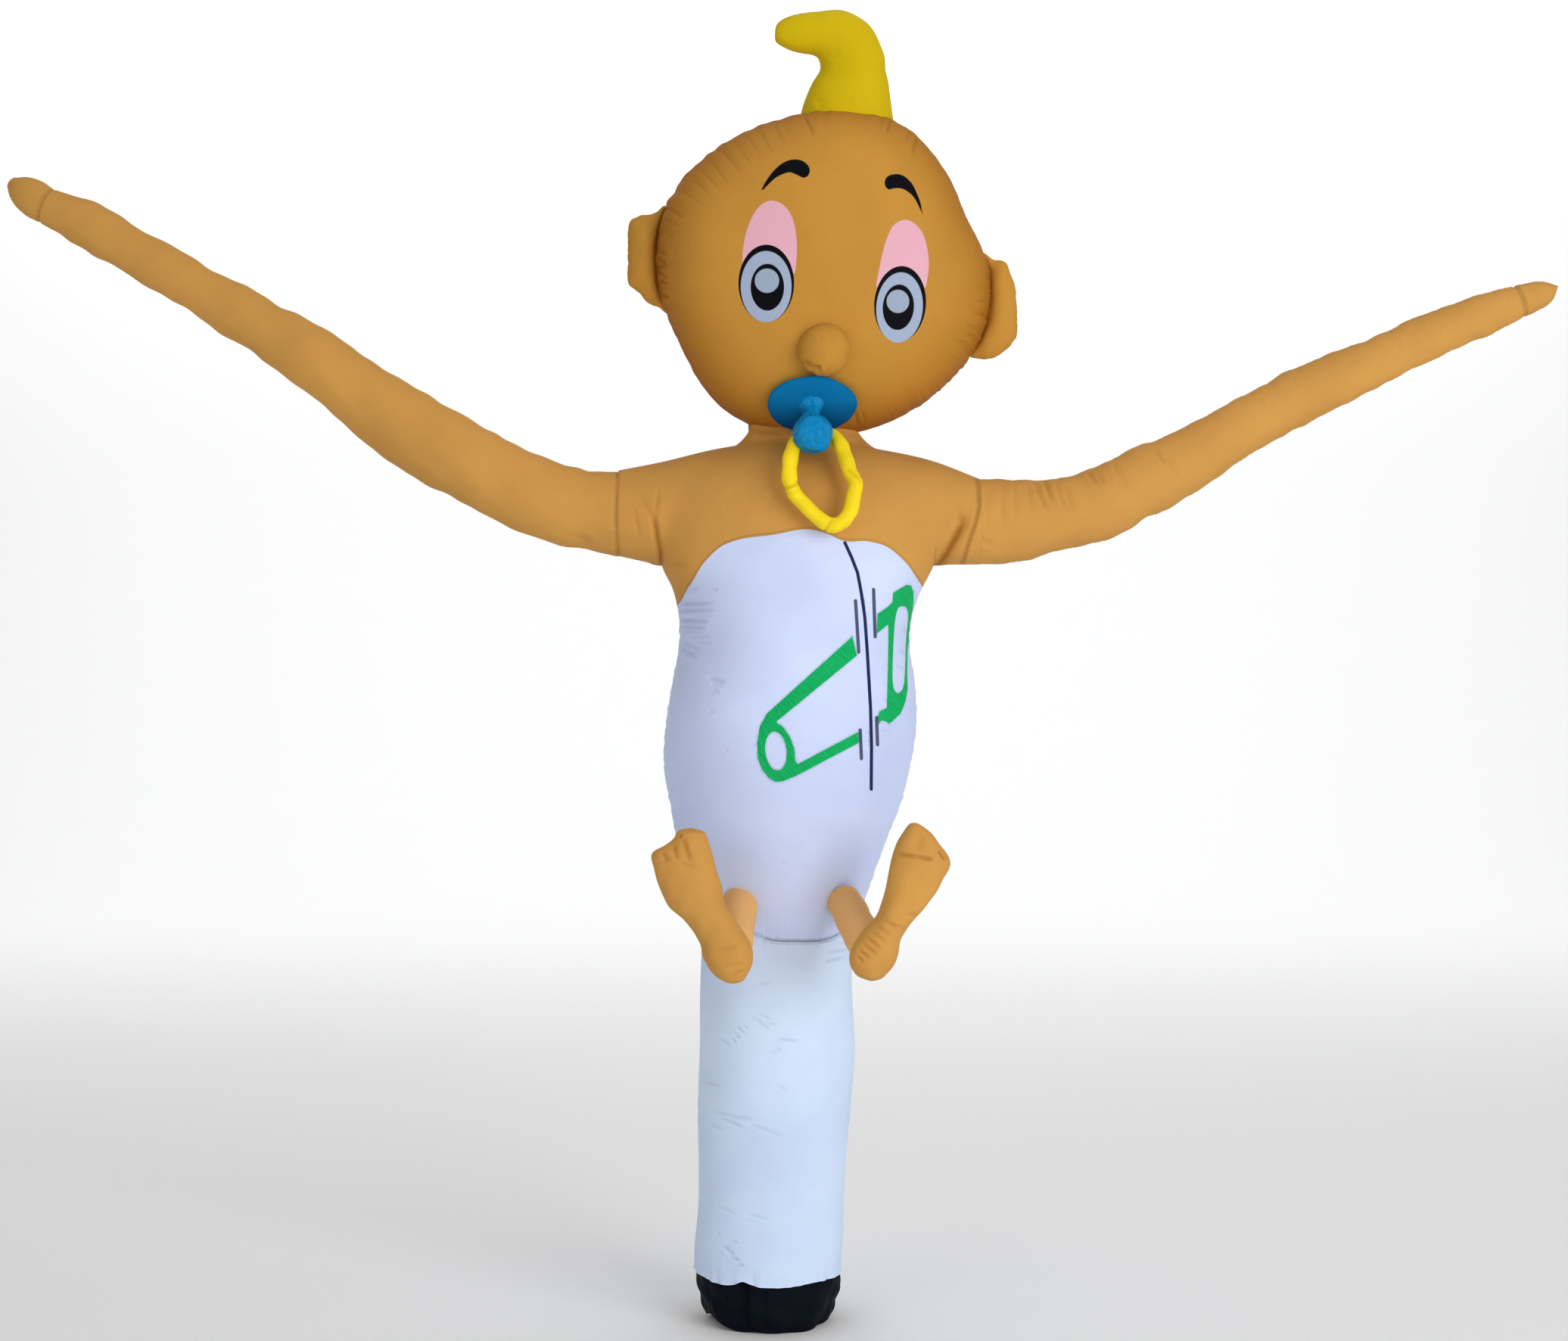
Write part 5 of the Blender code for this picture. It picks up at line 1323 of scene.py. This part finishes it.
def build_shield():
    """A flattened ball, with painted shade on its lower half where it turns under."""
    angle, lean = ball_lattice(160, 70)
    flat = np.cos(lean)
    width, height, thickness = SHIELD_SIZE
    points = SHIELD_MIDDLE + SIDEWAYS * (width * flat * np.cos(angle))[..., None]
    points = points + SHIELD_UP * (height * flat * np.sin(angle))[..., None]
    points = points + SHIELD_FACING * (thickness * np.sin(lean))[..., None]
    points = push(points, 0.0015 * dents(points, 0.08, 101) * flat ** 0.5)
    # Painted shade on the lower half, where the ball turns under and the knob's shadow falls.
    painted_underside_shade = held(0.25 - 1.1 * flat * np.sin(angle))
    skin = Skin().add(points, seam=np.abs(lean) * 0.03, run=angle * 0.12, hollow=painted_underside_shade)
    blue = nylon("blue_nylon", BLUE)
    skin.finish("dummy_shield", "blue_nylon", blue)


def build_knob():
    """A crumpled ball on a stem, turned about the line that the shield faces along."""
    around, up = lattice(110, 110)
    middle = SHIELD_MIDDLE + SHIELD_FACING * KNOB("reach", up)[..., None]
    points = tube(middle, SHIELD_FACING, (0, 1, 0), np.maximum(KNOB("radius", up), 0), around)
    crumples = 0.0028 * dents(points, 0.05, 103) - 0.0030 * ridged(points, 0.06, (1, 1, 1), 107)
    points = push(points, crumples * held(np.minimum(up, 1 - up) / 0.05))
    # The knob's paler blue is painted light.
    crumpled = nylon("crumpled_blue_nylon", LIT_KNOB_BLUE, roughness=0.45, gloss=0.12, crumple=10.0)
    skin = Skin().add(points, seam=0.2, run=up)
    skin.finish("dummy_knob", "blue_nylon", crumpled)


def build_ring():
    """A closed round tube with kinks."""
    around, up = lattice(44, 360)
    last = RING.knots[-1]
    along = up % 1.0 * last
    direction = unit(RING.place((along + 0.1) % last) - RING.place((along - 0.1) % last))
    points = tube(RING.place(along), direction, (0, 1, 0), RING_RADIUS, around)
    crease = creases(points, RING_KINKS)
    points = push(points, 0.0016 * dents(points, 0.05, 105) + crease)
    points[-1] = points[0]
    skin = Skin().add(points, seam=0.2, run=up, hollow=hollowness(crease, 0.010))
    gold = nylon("yellow_nylon", GOLD, roughness=0.5, gloss=0.15)
    skin.finish("dummy_ring", "yellow_nylon", gold)


def build_stage():
    """A floor that curves up into a backdrop: a quarter circle between two flats."""
    near, reach, bend, height, half_width = -14.0, 17.0, 4.0, 14.0, 20.0
    profile = [(near, 0.0)]
    for turn in np.linspace(0, math.pi / 2, 13):
        profile.append((reach - bend + bend * math.sin(turn), bend - bend * math.cos(turn)))
    profile.append((reach, height))
    points = [(x, y, z) for y, z in profile for x in (-half_width, half_width)]
    faces = [(2 * i, 2 * i + 1, 2 * i + 3, 2 * i + 2) for i in range(len(profile) - 1)]
    mesh = bpy.data.meshes.new("floor")
    mesh.from_pydata(points, [], faces)
    mesh.shade_smooth()
    pale = bpy.data.materials.new("pale_floor")
    pale.use_nodes = True
    shader = pale.node_tree.nodes["Principled BSDF"]
    shader.inputs["Base Color"].default_value = (0.94, 0.94, 0.94, 1.0)
    shader.inputs["Roughness"].default_value = 0.95
    mesh.materials.append(pale)
    floor = bpy.data.objects.new("floor", mesh)
    bpy.context.scene.collection.objects.link(floor)


# Square lamps: the name, the place, what it is aimed at, the power in watts, the side and the colour.
LAMPS = (
    ("key", (5.6, -7.6, 3.7), (0.0, 0.0, 2.0), 475, 6.0, (0.98, 0.99, 1.0)),
    ("fill", (-5.0, -7.5, 2.4), (0.0, 0.0, 1.6), 105, 5.0, (1.0, 1.0, 1.0)),
    ("top", (0.0, 1.0, 8.0), (0.0, 0.0, 1.5), 80, 5.0, (1.0, 1.0, 1.0)),
    ("left_wash", (-6.0, 9.5, 11.5), (-6.0, 17.0, 4.0), 560, 7.0, (1.0, 1.0, 1.0)),
    ("right_wash", (6.0, 9.5, 11.5), (6.0, 17.0, 4.0), 560, 7.0, (1.0, 1.0, 1.0)),
)


def build_light_and_camera():
    scene = bpy.context.scene
    for name, place, aim, power, side, colour in LAMPS:
        light = bpy.data.lights.new(name, "AREA")
        light.energy = power
        light.size = side
        light.color = colour
        lamp = bpy.data.objects.new(name, light)
        lamp.location = place
        lamp.rotation_euler = (Vector(aim) - Vector(place)).to_track_quat("-Z", "Y").to_euler()
        scene.collection.objects.link(lamp)
    scene.world = bpy.data.worlds.new("pale_sky")
    scene.world.use_nodes = True
    sky = scene.world.node_tree.nodes["Background"]
    sky.inputs["Color"].default_value = (0.98, 0.99, 1.0, 1.0)
    sky.inputs["Strength"].default_value = 0.40
    scene.view_settings.view_transform = "Standard"
    lens = bpy.data.cameras.new("camera")
    lens.sensor_fit = "HORIZONTAL"
    lens.sensor_width = 36.0
    lens.lens = 36.0 * -EYE[1] / VIEW_WIDTH
    camera = bpy.data.objects.new("camera", lens)
    camera.location = (EYE[0], EYE[1] + SEAM_PLANE, EYE[2])
    camera.rotation_euler = (math.pi / 2, 0, 0)
    scene.collection.objects.link(camera)
    scene.camera = camera


def main():
    build_light_and_camera()
    build_stage()
    # The body's paler skin colour is painted light.
    skin_cloth = nylon("skin_nylon", LIT_BODY_SKIN)
    face_cloth = nylon("face_nylon", SKIN)
    build_cuff()
    build_mast()
    build_nappy()
    build_chest(skin_cloth)
    build_arms(skin_cloth)
    build_head()
    build_ears(face_cloth)
    build_nose(face_cloth)
    build_hair()
    build_legs()
    build_feet(skin_cloth)
    build_shield()
    build_knob()
    build_ring()


main()
